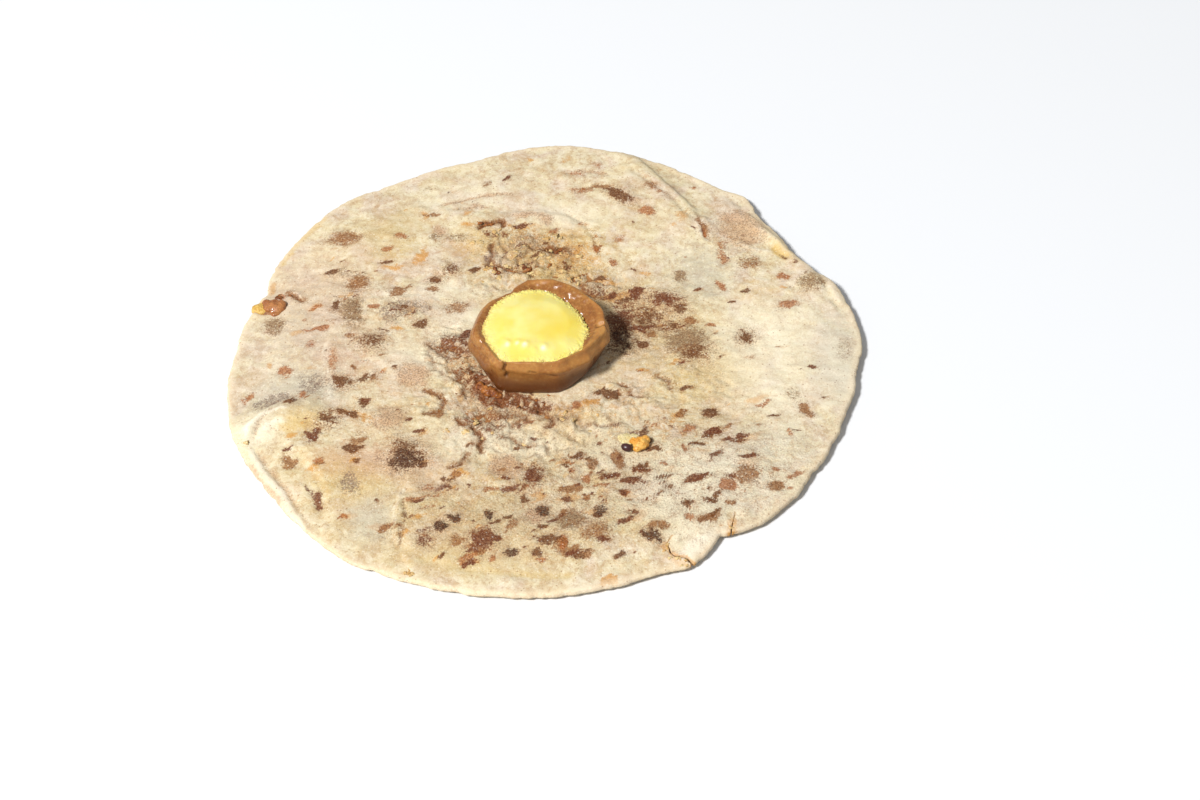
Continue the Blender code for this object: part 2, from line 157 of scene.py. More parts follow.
RIM_IN = 0.75  # how far the rim's rounding reaches in
RIM_ROWS = 5
RIM_THINNEST = 0.7
RIM_GROOVE = 0.16  # how deep the seam runs round the middle of the rim's edge
GROOVE_ROW = 3
RIM_UNEVEN = (0.25, 0.92, 0.10)  # of the rounding: outwards, and upwards as least share and more
RIM_SPOTS = 208  # points round the CAD solid's rim
SPOT_HALF = 0.004  # radians to either side in which a rim point is looked for
RIM_SHARE = 0.9  # what reaches less far than this share of the usual isn't the rim
RIM_SMOOTHING = 6
RIM_WANDER = [(5.0, 0.30), (2.3, 0.22), (1.1, 0.12)]  # span and size of the rim's raggedness
# Small nicks and tongues of the rim: angle in degrees, half width in degrees, reach
RIM_NICKS = [
    (164.4, 2.6, -2.0), (169.6, 2.4, -1.0), (-63.2, 0.8, -0.5), (-57.2, 0.9, -0.6),
    (-60.4, 1.5, 0.5), (-141.5, 0.6, -0.5), (-118.4, 0.7, -0.6), (-104.0, 0.8, -0.4),
    (-88.0, 0.8, 0.3), (-20.2, 0.9, -0.4), (-34.0, 0.8, -0.5), (12.0, 0.8, -0.3), (43.5, 0.7, -0.5),
    (63.8, 0.8, -0.5), (76.0, 0.8, 0.3), (101.5, 1.0, -0.5), (127.0, 0.7, -0.5), (141.0, 0.8, -0.4),
    (197.0, 0.9, -0.3), (214.0, 0.9, -0.4), (226.0, 0.8, -0.4),
]
# The hole that the filling pushes out of at the left: middle, size, turn in degrees
TORN_RIM = ((-82.2, 16.7), (8.0, 5.6), 168)
TORN_DEPTH = 1.9
TORN_CRUMB = ((-82.4, 16.7), (8.4, 5.8), 168)  # how far the bare inside of the dough shows there
# Where the solid's crumb, seed and filling stand up and the skin runs on below: middle, reach
BRIDGED = [((25.4, -39.2), 5.2), ((21.4, -41.2), 3.6), ((-80.4, 16.8), 8.5)]

# The open cracks through the rim at the lower right
OPEN_CRACKS = [
    [(41.6, -85.8), (39.6, -82.1), (36.6, -79.2), (34.6, -78.9), (32.8, -77.7), (32.4, -76.1),
      (31.7, -74.9), (33.3, -72.2)],
    [(49.4, -77.5), (48.5, -73.6), (48.8, -70.0), (49.3, -67.3), (50.1, -64.0)],
]
OPEN_WIDTH = [1.1, 0.6]
OPEN_BRIDGED = 1.8  # how far from an open crack the solid's own cut is filled in first
OPEN_FROM, OPEN_TO = -0.005, 0.012  # heights in metres between which a crack is cut
# Cracks of the crust: points, depth, half width
CRACKS = [
    ([(-34.2, -17.9), (-32.4, -19.3), (-29.9, -20.4), (-28.7, -22.3), (-29.1, -24.2),
      (-29.9, -25.9), (-31.6, -26.8), (-33.6, -27.0)], 0.55, 0.42),
    ([(-25.0, -29.3), (-23.1, -31.2), (-20.1, -32.6), (-18.2, -34.7), (-17.5, -37.2),
      (-18.5, -39.3), (-17.8, -41.5)], 0.6, 0.45),
    ([(-21.6, -42.9), (-22.8, -45.0), (-22.9, -46.8), (-25.9, -47.9)], 0.45, 0.4),
    ([(-3.9, -25.5), (-0.8, -26.6), (1.3, -29.6), (1.9, -31.4), (-0.2, -32.5)], 0.55, 0.45),
    ([(-21.6, 50.6), (-19.8, 52.2), (-18.0, 51.9), (-16.6, 53.2), (-14.8, 53.4),
      (-14.4, 51.4)], 0.6, 0.5),
    ([(-17.5, 43.4), (-17.9, 40.7), (-17.2, 39.0), (-18.2, 36.8), (-17.6, 35.2),
      (-18.6, 33.9)], 0.6, 0.45),
    ([(-2.0, 41.2), (-0.4, 41.6), (1.4, 41.2), (2.6, 40.6)], 0.8, 0.75),
    ([(-8.9, 43.7), (-5.9, 42.0), (-2.9, 41.0)], 0.4, 0.4),
    ([(-16.2, 34.0), (-12.2, 33.2), (-9.0, 30.4), (-5.6, 30.6)], 0.5, 0.5),
    ([(5.6, 29.4), (9.0, 27.0), (9.6, 23.6), (13.2, 21.4)], 0.4, 0.45),
    ([(-12.4, -28.6), (-9.0, -27.2), (-6.0, -28.4), (-4.4, -30.6)], 0.4, 0.4),
    ([(-27.2, -9.6), (-25.2, -11.6), (-25.6, -14.4), (-23.2, -16.6), (-23.6, -19.6)], 0.45, 0.45),
    ([(-34.6, 0.6), (-32.0, -0.8), (-30.4, -3.6), (-27.6, -4.8)], 0.35, 0.4),
    ([(-12.6, -36.6), (-9.4, -36.2), (-7.6, -38.8), (-4.2, -39.4)], 0.35, 0.4),
    ([(19.6, -15.8), (22.4, -17.0), (23.0, -19.8), (26.2, -21.0)], 0.3, 0.4),
    ([(9.4, -31.6), (12.6, -30.6), (15.0, -32.2), (18.4, -31.4)], 0.3, 0.4),
    ([(40.7, -67.4), (42.4, -66.2), (44.4, -65.4)], 0.35, 0.5),
    ([(30.6, -12.8), (33.6, -14.6), (34.0, -17.6)], 0.3, 0.4),
    ([(-75.9, 22.3), (-73.9, 21.5), (-72.9, 19.9), (-71.2, 19.3)], 0.5, 0.4),
]
# Edges where one layer of dough lies over another: points, step; the higher side is on the right
STEPS = [
    ([(-38.0, -56.5), (-39.4, -62.8), (-39.8, -67.4), (-39.3, -72.4), (-37.6, -76.4)], -0.9),
    ([(24.3, 87.0), (29.4, 79.4), (33.9, 72.1), (39.2, 65.0), (44.6, 56.9)], 0.8),
    ([(57.9, 58.4), (66.0, 47.2), (72.2, 38.6), (77.6, 28.6), (80.6, 20.0)], 0.8),
    ([(-85.0, -35.0), (-79.2, -27.2), (-74.8, -24.4), (-69.0, -22.0)], 0.9),
    ([(-82.6, -36.6), (-76.8, -30.8), (-72.8, -29.4), (-66.6, -30.4)], -0.8),
    ([(-67.0, -43.4), (-61.2, -50.0), (-58.4, -57.0), (-58.6, -65.6)], -0.7),
    ([(-18.6, -52.4), (-8.0, -56.2), (4.0, -56.0)], -0.5),
    ([(31.6, -75.0), (40.0, -70.4), (50.2, -65.8)], -0.8),
    ([(-62.8, 4.6), (-61.8, -7.6), (-59.6, -17.2)], -0.6),
    ([(-35.0, 60.0), (-20.0, 57.0), (-4.0, 58.6), (8.0, 55.0)], 0.5),
    ([(62.0, -52.0), (52.0, -46.0), (44.0, -34.0)], 0.4),
    ([(-52.0, 52.0), (-60.0, 40.0), (-64.0, 28.0)], -0.4),
]
# Creases and streaks of the dough: points, half width, how far raised, tone, strength
STROKES = [
    ([(-62.8, -14.6), (-61.2, -17.5), (-59.6, -24.3)], 0.75, 0.3, "cream", 0.45),
    # Painted shade on the lower side of the ridge just to its left
    ([(-60.8, 1.6), (-60.6, -5.5), (-60.4, -11.6)], 0.8, -0.25, "rosy", 0.8),
    ([(-82.1, -38.5), (-81.5, -32.9), (-78.6, -28.9), (-74.0, -27.0),
      (-69.4, -26.4)], 0.55, 0.5, "cream", 0.9),
    # Painted shade beside the raised fold above
    ([(-80.6, -38.0), (-79.6, -33.4), (-78.2, -29.8), (-76.0, -27.4),
      (-72.6, -26.6)], 0.5, -0.4, "rosy", 0.6),
    ([(-77.9, -36.3), (-76.7, -31.8), (-72.9, -30.1), (-69.6, -31.6)], 0.8, 0.45, "cream", 0.8),
    ([(-82.1, -38.5), (-75.7, -49.5), (-70.2, -57.1), (-66.4, -64.5), (-61.8, -72.9),
      (-55.0, -80.0)], 0.9, 0.6, "cream", 0.9),
    # Painted shade on the inner side of the raised fold above
    ([(-80.6, -38.2), (-74.0, -49.0), (-68.4, -56.8), (-64.6, -64.0),
      (-60.0, -72.0)], 0.6, -0.5, "rosy", 0.5),
    ([(-39.6, -70.8), (-40.0, -64.5), (-38.8, -58.2), (-36.7, -52.8)], 0.6, 0.3, "cream", 0.5),
    ([(-60.2, 3.6), (-62.6, 2.3), (-63.6, -4.9), (-61.4, -12.1), (-60.0, -19.1),
      (-58.2, -21.4)], 0.6, 0.3, "cream", 0.45),
    ([(-37.9, -60.3), (-31.7, -58.7), (-25.5, -57.1)], 0.5, -0.15, "rust", 0.7),
    ([(-36.1, -64.5), (-30.0, -62.4), (-25.3, -61.4)], 0.5, -0.15, "rust", 0.6),
    ([(48.8, -72.4), (49.0, -67.9), (49.9, -63.9)], 1.0, 0.0, "gold", 1.3),
    ([(44.1, -69.2), (46.5, -67.8), (48.7, -67.5)], 0.5, -0.15, "gold", 1.2),
    ([(-64.8, -52.0), (-61.9, -57.4), (-59.3, -64.0)], 0.55, -0.55, "plum", 0.9),
    ([(-73.1, -42.4), (-69.2, -44.9), (-65.4, -46.9)], 0.7, -0.3, "brown", 1.0),
    ([(-81.9, -43.4), (-76.0, -52.6), (-68.6, -61.6)], 0.7, -0.3, "rust", 0.75),
    # Painted shade along the lower side of the fold at the top right
    ([(22.1, 79.9), (29.7, 71.7), (35.0, 66.0), (40.0, 57.5),
      (44.3, 51.0)], 1.0, -0.45, "brown", 0.25),
    ([(42.6, 54.5), (44.2, 48.3), (45.3, 42.8)], 0.6, 0.3, "cream", 0.45),
    ([(44.3, 51.6), (45.7, 47.4), (46.6, 43.7)], 0.5, -0.35, "rust", 1.0),
    ([(58.8, 51.6), (63.5, 47.6), (67.3, 43.1), (71.2, 37.4), (74.6, 35.0), (77.6, 31.0),
      (81.8, 23.4), (85.0, 14.6)], 1.0, 0.6, "cream", 0.45),
    ([(64.3, 43.6), (67.2, 39.4), (70.0, 35.0)], 1.3, -0.7, "yolk", 1.1),
    ([(66.2, 40.2), (68.6, 36.9), (70.4, 34.2)], 0.5, -0.3, "umber", 0.9),
    ([(54.9, 44.4), (59.4, 40.7), (64.0, 39.8), (67.2, 41.2)], 0.7, 0.35, "cream", 0.5),
    ([(-36.0, 61.2), (-25.0, 64.6), (-16.0, 66.4), (-9.4, 65.4)], 0.6, -0.3, "rosy", 0.9),
    ([(2.7, 75.9), (11.3, 77.9), (18.5, 74.4)], 0.6, -0.25, "rosy", 0.9),
    ([(5.8, 67.6), (12.9, 70.2), (19.1, 69.0)], 0.8, -0.3, "brown", 0.8),
    ([(1.4, 59.5), (8.4, 54.3), (12.0, 47.9), (14.8, 39.6)], 0.7, -0.3, "brown", 0.35),
    ([(-38.6, -57.2), (-37.0, -64.6), (-37.5, -69.9), (-38.6, -77.1)], 0.6, -0.4, "ash", 0.7),
    ([(-38.5, -62.0), (-34.8, -58.1), (-30.9, -56.3), (-24.7, -53.3)], 0.6, 0.22, "cream", 0.35),
    ([(-81.9, 19.8), (-81.5, 22.6), (-81.2, 25.6), (-80.9, 30.0)], 0.9, -0.15, "gold", 1.1),
    ([(-80.6, 33.0), (-77.0, 42.0), (-72.0, 51.0), (-66.6, 58.6)], 0.9, 0.0, "yolk", 0.9),
    ([(-79.9, 23.7), (-78.7, 22.5), (-77.0, 20.8), (-75.9, 19.0)], 0.62, -0.5, "rust", 1.3),
    ([(-74.9, 22.0), (-73.4, 20.9), (-71.9, 20.1)], 0.8, -0.35, "plum", 1.1),
    ([(-34.2, -79.3), (-21.7, -83.0), (-6.2, -85.4), (9.3, -85.6)], 1.0, -0.3, "baked", 0.9),
]
END_FADES = (0.3, 3.5)  # how far from its end a line starts to fade in, and over how far
# Where the crust round the cup is broken up: x, y, width, height, turn in degrees, how much
BROKEN = [
    (-5.0, 39.0, 30, 24, 0, 0.85), (12.0, 27.0, 22, 16, -30, 0.8), (-25.0, -5.0, 20, 26, 20, 0.9),
    (-16.0, -26.0, 26, 18, -20, 1.0), (-2.0, -33.0, 34, 22, 0, 0.8), (-20.0, -38.0, 18, 18, 0, 0.6),
    (24.0, 6.0, 20, 24, 0, 0.4), (18.0, -24.0, 30, 18, 20, 0.55), (-17.0, 26.0, 16, 16, 0, 0.5),
    (-31.0, -22.0, 14, 14, 0, 0.5), (38.0, -18.0, 30, 24, 0, 0.35), (8.0, -46.0, 40, 18, 0, 0.3),
]
PLATE_SPAN = 5.2  # size of the plates that the broken crust comes apart in
PLATE_DEPTH = 0.95  # of the gaps between them
PLATE_LIFT = 0.75
GAP_HALF = 0.6  # half width of a gap between plates
SEAM_HALF = 0.06
# Layers of unevenness: span in mm, seed, octaves
GRIT, FINE, WRINKLES, LUMPS = (1.0, 3), (1.9, 4, 2), (4.2, 5, 3), (9.0, 6, 2)
SEAMS, WANDERING, KNOTS = (6.5, 7, 2), (1.6, 8), (1.5, 12, 2)
LUMPS_HIGH = 0.34  # height of the broad lumps, in mm as the next ones
WRINKLES_HIGH = (0.20, 0.18)  # and how much more where the crust is busy
FINE_HIGH = (0.06, 0.08)
GRIT_HIGH = 0.03
WRINKLED_ALONG = (1, 1.8, 1)  # wrinkles are this much closer together along y
BROKEN_FINE, BROKEN_GRIT = 0.28, 0.10  # more of these where it is broken
SWIRL, SWIRL_SPAN = 1.3, 2.8  # how far plates and knots are pushed out of shape, and the span
WANDER = 0.55  # how far cracks and streaks wander
CRACK_LIP, CRACK_LIP_HALF = 0.35, 2.0  # how high a crack's lips stand, and their half width
CRACK_DEEPER, CRACK_WIDER = 1.3, 1.35  # times what the table says
# The syrup that ran out at the cup's foot: towards which side, and how many degrees to each side
SYRUP_TOWARDS, SYRUP_HALF = 222, 46
SYRUP_OUT, SYRUP_WIDE = 20.5, 3.2  # from the cup's middle, and half width
SYRUP_HIGH, SYRUP_KNOTS, SYRUP_FINE = 0.5, 0.8, 0.5
STEP_HALF, STEP_RUNS_OUT = 0.9, 6.5  # how wide a step's edge is, and how far the layer beside it

# Griddle marks on the top, by tone: x, y, width, height, turn in degrees, strength
MARKS = {
    "brown": [
        (-61.4, 46.1, 10.4, 6.4, 0, 0.8), (-55.8, 26.1, 6.8, 6.8, 0, 0.85),
        (-27.1, 16.1, 6.6, 5.7, 20, 0.7), (-51.8, -38.5, 3.6, 10.0, -12, 0.4),
        (-69.3, -46.0, 3.6, 3.2, 0, 0.8), (-23.2, -73.4, 5.0, 2.9, 0, 0.75),
        (-8.2, -68.1, 3.0, 3.6, 0, 0.7), (45.1, 50.2, 2.3, 10.4, 20, 0.9),
        (58.2, 34.8, 7.0, 7.4, 0, 0.6), (40.2, 9.8, 3.6, 3.0, 0, 0.95),
        (70.9, -25.4, 3.8, 5.4, 20, 1.1), (19.3, -44.9, 3.3, 6.2, 12, 1.15),
        (12.5, -46.4, 3.0, 3.6, 0, 0.9), (49.1, -61.0, 3.6, 2.2, 0, 1.1),
        (53.8, -50.8, 6.4, 6.6, -20, 0.75), (61.1, -54.5, 4.2, 3.6, 0, 0.9),
        (42.8, -66.4, 6.6, 2.8, 22, 1.0), (13.6, -71.3, 8.6, 7.0, 0, 0.62),
        (4.3, -75.5, 3.4, 4.4, 0, 0.95), (11.3, -78.6, 3.6, 2.4, 0, 0.75),
        (-16.0, -27.0, 8.0, 3.0, -24, 0.7), (13.8, 42.0, 2.8, 3.2, 0, 0.9),
        (-44.2, 22.8, 4.6, 4.4, 0, 0.85), (-36.8, 56.4, 6.0, 1.8, 8, 0.6),
        (-19.9, 71.2, 2.8, 2.0, 0, 0.7), (29.8, 69.6, 3.6, 3.4, 0, 0.6),
        (-56.9, 3.4, 2.8, 1.6, 10, 0.7), (-48.9, -13.6, 3.6, 2.2, -20, 0.55),
        (-34.6, 57.1, 2.4, 2.2, 0, 0.6),
    ],
    "umber": [
        (-29.5, 32.2, 6.3, 6.0, 0, 0.65), (-34.0, 27.4, 4.6, 4.2, 0, 0.95),
        (-62.0, 17.0, 3.1, 4.6, 0, 0.9), (-36.8, 9.4, 4.0, 4.1, 0, 1.0),
        (-50.2, 1.0, 8.3, 7.4, 0, 0.75), (-57.7, -15.2, 7.6, 5.6, -10, 0.95),
        (-51.4, -13.6, 6.0, 3.2, 24, 0.75), (-51.6, -23.1, 3.2, 3.7, 0, 0.95),
        (-60.0, -29.6, 7.0, 6.6, 0, 0.75), (-38.4, -41.0, 9.8, 9.6, 0, 0.6),
        (20.0, -79.2, 3.6, 2.4, 30, 1.3), (-2.0, -77.6, 3.8, 3.0, 0, 1.2),
        (20.5, 65.0, 9.0, 4.8, -48, 1.1), (17.0, 67.6, 5.4, 4.2, 0, 0.5),
        (36.8, 15.3, 6.0, 4.4, -12, 0.9), (34.6, 8.0, 7.0, 6.0, 0, 0.6),
        (41.0, -3.4, 8.0, 7.4, 0, 0.7), (56.2, 3.5, 5.4, 6.2, 0, 0.85),
        (28.4, 12.6, 9.0, 9.6, 0, 0.72), (44.9, -27.4, 4.4, 3.6, 0, 1.3),
        (32.8, -54.8, 2.9, 2.3, 0, 0.9), (37.4, -60.6, 4.3, 3.4, 0, 1.0),
        (43.8, -59.9, 3.9, 2.1, 0, 0.95), (-70.9, -23.6, 4.0, 3.0, 40, 1.2),
        (-14.6, -21.4, 10.0, 4.4, -18, 0.8), (-19.6, -14.0, 3.4, 7.0, 20, 0.6),
        (-19.8, 51.2, 4.8, 2.6, -8, 1.3), (-15.4, 52.8, 3.0, 1.5, 20, 1.0),
        (-64.0, 30.3, 4.0, 3.0, -10, 1.0),
    ],
    "ash": [
        (-56.9, 14.4, 6.6, 12.4, 12, 0.9), (-79.0, 8.5, 6.5, 5.7, 0, 0.8),
        (39.1, 0.6, 11.0, 13.0, 0, 0.95), (75.8, 25.6, 7.4, 8.4, 0, 0.75),
        (83.7, -1.4, 5.4, 9.4, 0, 0.35), (7.3, -66.5, 6.4, 7.4, 0, 0.95),
        (-35.1, 46.7, 3.2, 3.6, 0, 0.8), (-28.5, 46.7, 7.0, 4.0, 0, 0.55),
        (-60.8, 30.9, 5.0, 3.4, 0, 0.5), (-56.4, 26.9, 5, 4, 0, 0.4),
        (38.0, 29.1, 4.2, 4.4, 0, 1.2), (76.7, 26.1, 5.6, 6.0, 0, 0.2),
        (67.8, -19.7, 4.6, 4.0, 0, 0.5), (-38.0, 69.8, 2.5, 3.0, 0, 0.4),
    ],
    "slate": [
        (-44.8, 13.6, 7.3, 8.9, 0, 0.6), (-39.4, 15.6, 9.7, 4.9, 0, 0.8),
        (-41.9, -70.8, 6.0, 7.4, 0, 0.2), (-52.4, -53.9, 5.6, 7.0, 0, 0.7),
        (-65.3, -15.6, 7.0, 8.0, 0, 0.62), (-76.8, -22.6, 9.0, 4.4, 30, 0.85),
    ],
    "plum": [
        (-63.5, -35.5, 3.3, 7.8, -14, 1.0), (-60.1, -59.6, 2.2, 6.4, 12, 1.0),
        (-3.9, -51.5, 6.4, 8.6, -10, 0.95), (-10.2, -55.6, 7.0, 2.0, 4, 0.85),
        (-28.1, -55.1, 5.4, 2.8, 22, 0.85), (-16.4, -73.4, 7.4, 7.6, 40, 1.05),
        (-31.5, -74.1, 4.6, 4.8, 0, 0.7), (31.0, -53.3, 2.8, 1.2, 30, 0.7),
        (26.9, -53.6, 3.6, 1.3, 30, 0.8), (48.9, -37.9, 3.2, 2.0, 0, 1.0),
        (24.6, 22.6, 5.2, 5.0, 0, 0.95), (32.9, 19.6, 10.0, 7.2, -14, 0.8),
        (20.1, 10.6, 10.5, 18.7, -20, 0.8), (13.2, 22.4, 9.4, 8.0, 0, 0.5),
        (23.0, -52.3, 6.0, 3.6, 8, 1.3), (4.6, 39.8, 5.4, 4.0, 0, 0.4),
        (-5.0, 46.8, 4.6, 2.6, 30, 0.2), (4.4, 33.4, 7.0, 5.0, 0, 0.5),
    ],
    "rosy": [
        (-43.5, -29.3, 8.0, 8.4, 0, 0.75), (-11.1, -47.4, 8.0, 7.0, -20, 1.0),
        (-3.0, -65.8, 5.4, 4.2, 0, 0.8), (56.2, 50.2, 12.0, 15.2, 30, 0.9),
        (-38.0, -12.4, 7.6, 7.2, 0, 0.9), (-33.4, 50.4, 4.6, 3.8, 0, 0.9),
        (56.1, -4.7, 3.0, 2.0, 0, 0.6), (13.5, 80.8, 4.4, 2.4, 0, 0.7),
        (-21.8, 60.4, 9.0, 1.6, 0, 0.7), (-8.2, 56.3, 7.0, 2.4, 0, 0.8),
        (-1.8, 54.5, 5.0, 2.4, -35, 0.7),
    ],
    "black": [
        (-38.2, -45.0, 11.6, 9.4, 10, 0.8), (-23.7, -66.0, 3.6, 3.6, 0, 1.05),
        (-27.3, -69.2, 3.5, 3.8, 0, 1.1), (-14.6, -65.3, 3.1, 3.2, 0, 0.95),
        (-0.6, -63.5, 4.0, 4.2, 0, 1.0), (-9.2, -78.0, 4.2, 3.2, 0, 0.95),
        (20.6, 2.0, 9.5, 13.4, 0, 0.7), (28.0, -72.4, 6.0, 4.4, -30, 1.0),
        (30.0, -74.4, 2.4, 2.0, 0, 0.7), (14.5, -63.8, 4.6, 4.4, 20, 0.85),
        (0.2, 41.2, 6.6, 2.8, -4, 1.35),
    ],
    "rust": [
        (-14.6, -55.7, 3.0, 1.4, 0, 0.8), (-35.6, -60.4, 4.6, 2.0, 14, 0.8),
        (-32.2, -55.4, 3.6, 2.4, 0, 0.6), (-13.7, -80.5, 2.6, 2.0, 0, 0.7),
        (4.4, -74.5, 2.6, 3.8, 0, 0.9), (-1.1, -79.9, 5.4, 1.6, 6, 0.8),
        (5.1, -44.8, 3.0, 3.6, 0, 0.45), (6.6, -49.2, 2.4, 1.6, 0, 1.0),
        (15.3, -54.3, 5.0, 1.6, 8, 0.9), (55.6, -44.4, 2.6, 2.0, 0, 0.85),
        (52.8, -57.0, 1.8, 1.4, 0, 0.9), (37.5, -40.3, 3.0, 2.2, 0, 1.0),
        (10.9, -59.3, 2.6, 2.4, 0, 0.45), (21.1, -64.6, 2.4, 1.8, 0, 0.4),
        (-19.8, -79.7, 5.4, 3.4, 10, 0.8), (28.8, 57.5, 5.0, 4.2, 0, 1.1),
        (50.1, 38.4, 3.6, 5.8, 20, 0.5), (49.6, 25.6, 2.9, 4.5, 24, 0.85),
        (67.2, 28.7, 3.2, 3.2, 0, 1.1), (68.8, 16.1, 6.9, 3.6, 16, 0.85),
        (66.5, -34.3, 1.8, 4.4, 16, 0.9), (38.7, -33.5, 4.2, 3.0, 40, 0.7),
        (21.0, -57.0, 4.0, 1.9, 8, 1.05), (12.4, -54.8, 3.8, 1.5, 6, 0.6),
        (25.8, -59.8, 2.4, 2.6, 40, 0.4), (48.0, -54.1, 5.0, 4.0, 20, 1.3),
        (37.8, -65.7, 3.0, 2.8, 0, 1.2), (-73.3, -10.4, 3.6, 3.4, 0, 0.9),
        (-68.5, -19.9, 3.2, 2.4, 40, 0.5), (-65.2, 6.9, 4.6, 1.8, 12, 1.1),
        (-69.5, 5.8, 3.6, 1.6, 0, 0.7), (-62.6, 10.0, 4.6, 1.8, 0, 0.6),
        (-83.4, -20.1, 2.4, 4.2, -20, 1.1), (-60.4, -6.6, 2.4, 8.6, 10, 0.5),
        (8.4, 68.0, 8.2, 2.6, 6, 0.6), (32.4, 66.4, 6.2, 3.0, -40, 0.5),
        (18.2, 35.7, 3.4, 3.0, 0, 0.9), (19.7, 45.4, 3.2, 3.4, 0, 0.6),
        (-44.9, 46.7, 4.4, 2.6, 0, 0.95), (-48.4, 40.8, 4.2, 2.6, 10, 0.95),
        (-49.4, 67.5, 3.4, 2.2, 0, 0.35), (50.4, 42.4, 3.0, 3.4, 0, 0.55),
        (50.7, 36.2, 2.8, 3.4, 0, 0.7), (67.5, 29.1, 3.0, 1.6, 10, 0.8),
        (13.5, 41.7, 3.0, 2.6, 0, 0.8), (42.7, 70.9, 2.0, 1.6, 0, 0.8),
        (-67.9, 0.5, 2.4, 3.0, 0, 0.55), (-64.2, -1.2, 1.4, 3.6, -10, 0.4),
        (-72.1, -0.5, 4.0, 1.0, 0, 0.4), (-68.1, -19.6, 2.4, 2.6, -30, 0.7),
        (-73.3, -13.0, 2.2, 1.0, 0, 0.7), (-70.5, 10.8, 2.2, 1.4, 0, 0.5),
        (-51.4, -6.3, 2.6, 1.4, 0, 0.5), (-47.0, -11.0, 3.4, 2.0, 0, 0.45),
        (14.2, 80.2, 4.5, 2.6, -25, 0.4), (6.7, 76.1, 6.5, 2.2, -6, 0.5),
        (12.0, 74.5, 5.0, 1.8, -6, 0.4), (-7.6, 72.9, 7.0, 2.2, 0, 0.35),
        (8.2, 53.0, 2.0, 2.0, 0, 0.7), (13.5, 47.4, 2.6, 4.6, 30, 0.5),
    ],
    "gold": [
        (16.7, -86.9, 4.0, 3.0, 0, 1.5), (58.4, 23.0, 5.4, 2.6, 0, 0.2),
        (38.6, 55.4, 5.0, 6.0, 0, 0.65), (-71.9, 4.7, 4.4, 2.0, 0, 0.7),
        (-67.0, -9.5, 5.0, 1.8, 0, 0.6), (-78.3, -7.6, 1.8, 3.0, 20, 0.8),
        (-77.3, 1.5, 2.4, 1.8, -30, 0.45), (-7.8, 84.1, 3.0, 3.9, 0, 0.6),
        (4.3, 84.3, 3.0, 4.6, 0, 0.45), (-14.7, 83.0, 2.0, 5.0, 0, 0.4),
        (-30.4, 69.1, 2.5, 2.5, 0, 0.45), (-38.0, 56.3, 3.2, 3.6, 0, 0.7),
        (-25.1, 57.8, 3.2, 3.0, 0, 0.75), (8.7, 52.2, 6.0, 1.4, -15, 0.6),
        (-24.8, 52.3, 5.0, 1.6, 0, 0.7), (-44.3, 58.7, 1.8, 2.4, 0, 0.5),
        (-41.0, 58.8, 2.4, 1.8, 0, 0.5),
    ],
    "syrup": [
        (-27.0, 0.4, 9.0, 7.4, 0, 0.95), (-22.6, -3.0, 5.6, 5.0, 0, 0.5),
        (-24.4, -12.6, 5.0, 9.0, 0, 0.45), (-19.2, -14.8, 6.0, 10.4, 20, 1.0),
        (-14.2, -20.6, 13.0, 6.4, -18, 1.25), (-5.4, -23.6, 13.0, 5.2, -6, 1.3),
        (-17.2, -30.6, 14.0, 10.0, -24, 0.6), (-9.6, 33.6, 10.0, 2.4, 12, 0.6),
        (-16.4, 30.2, 4.6, 3.4, 0, 0.35), (-17.4, 47.6, 8.0, 3.0, 0, 0.75),
    ],
}
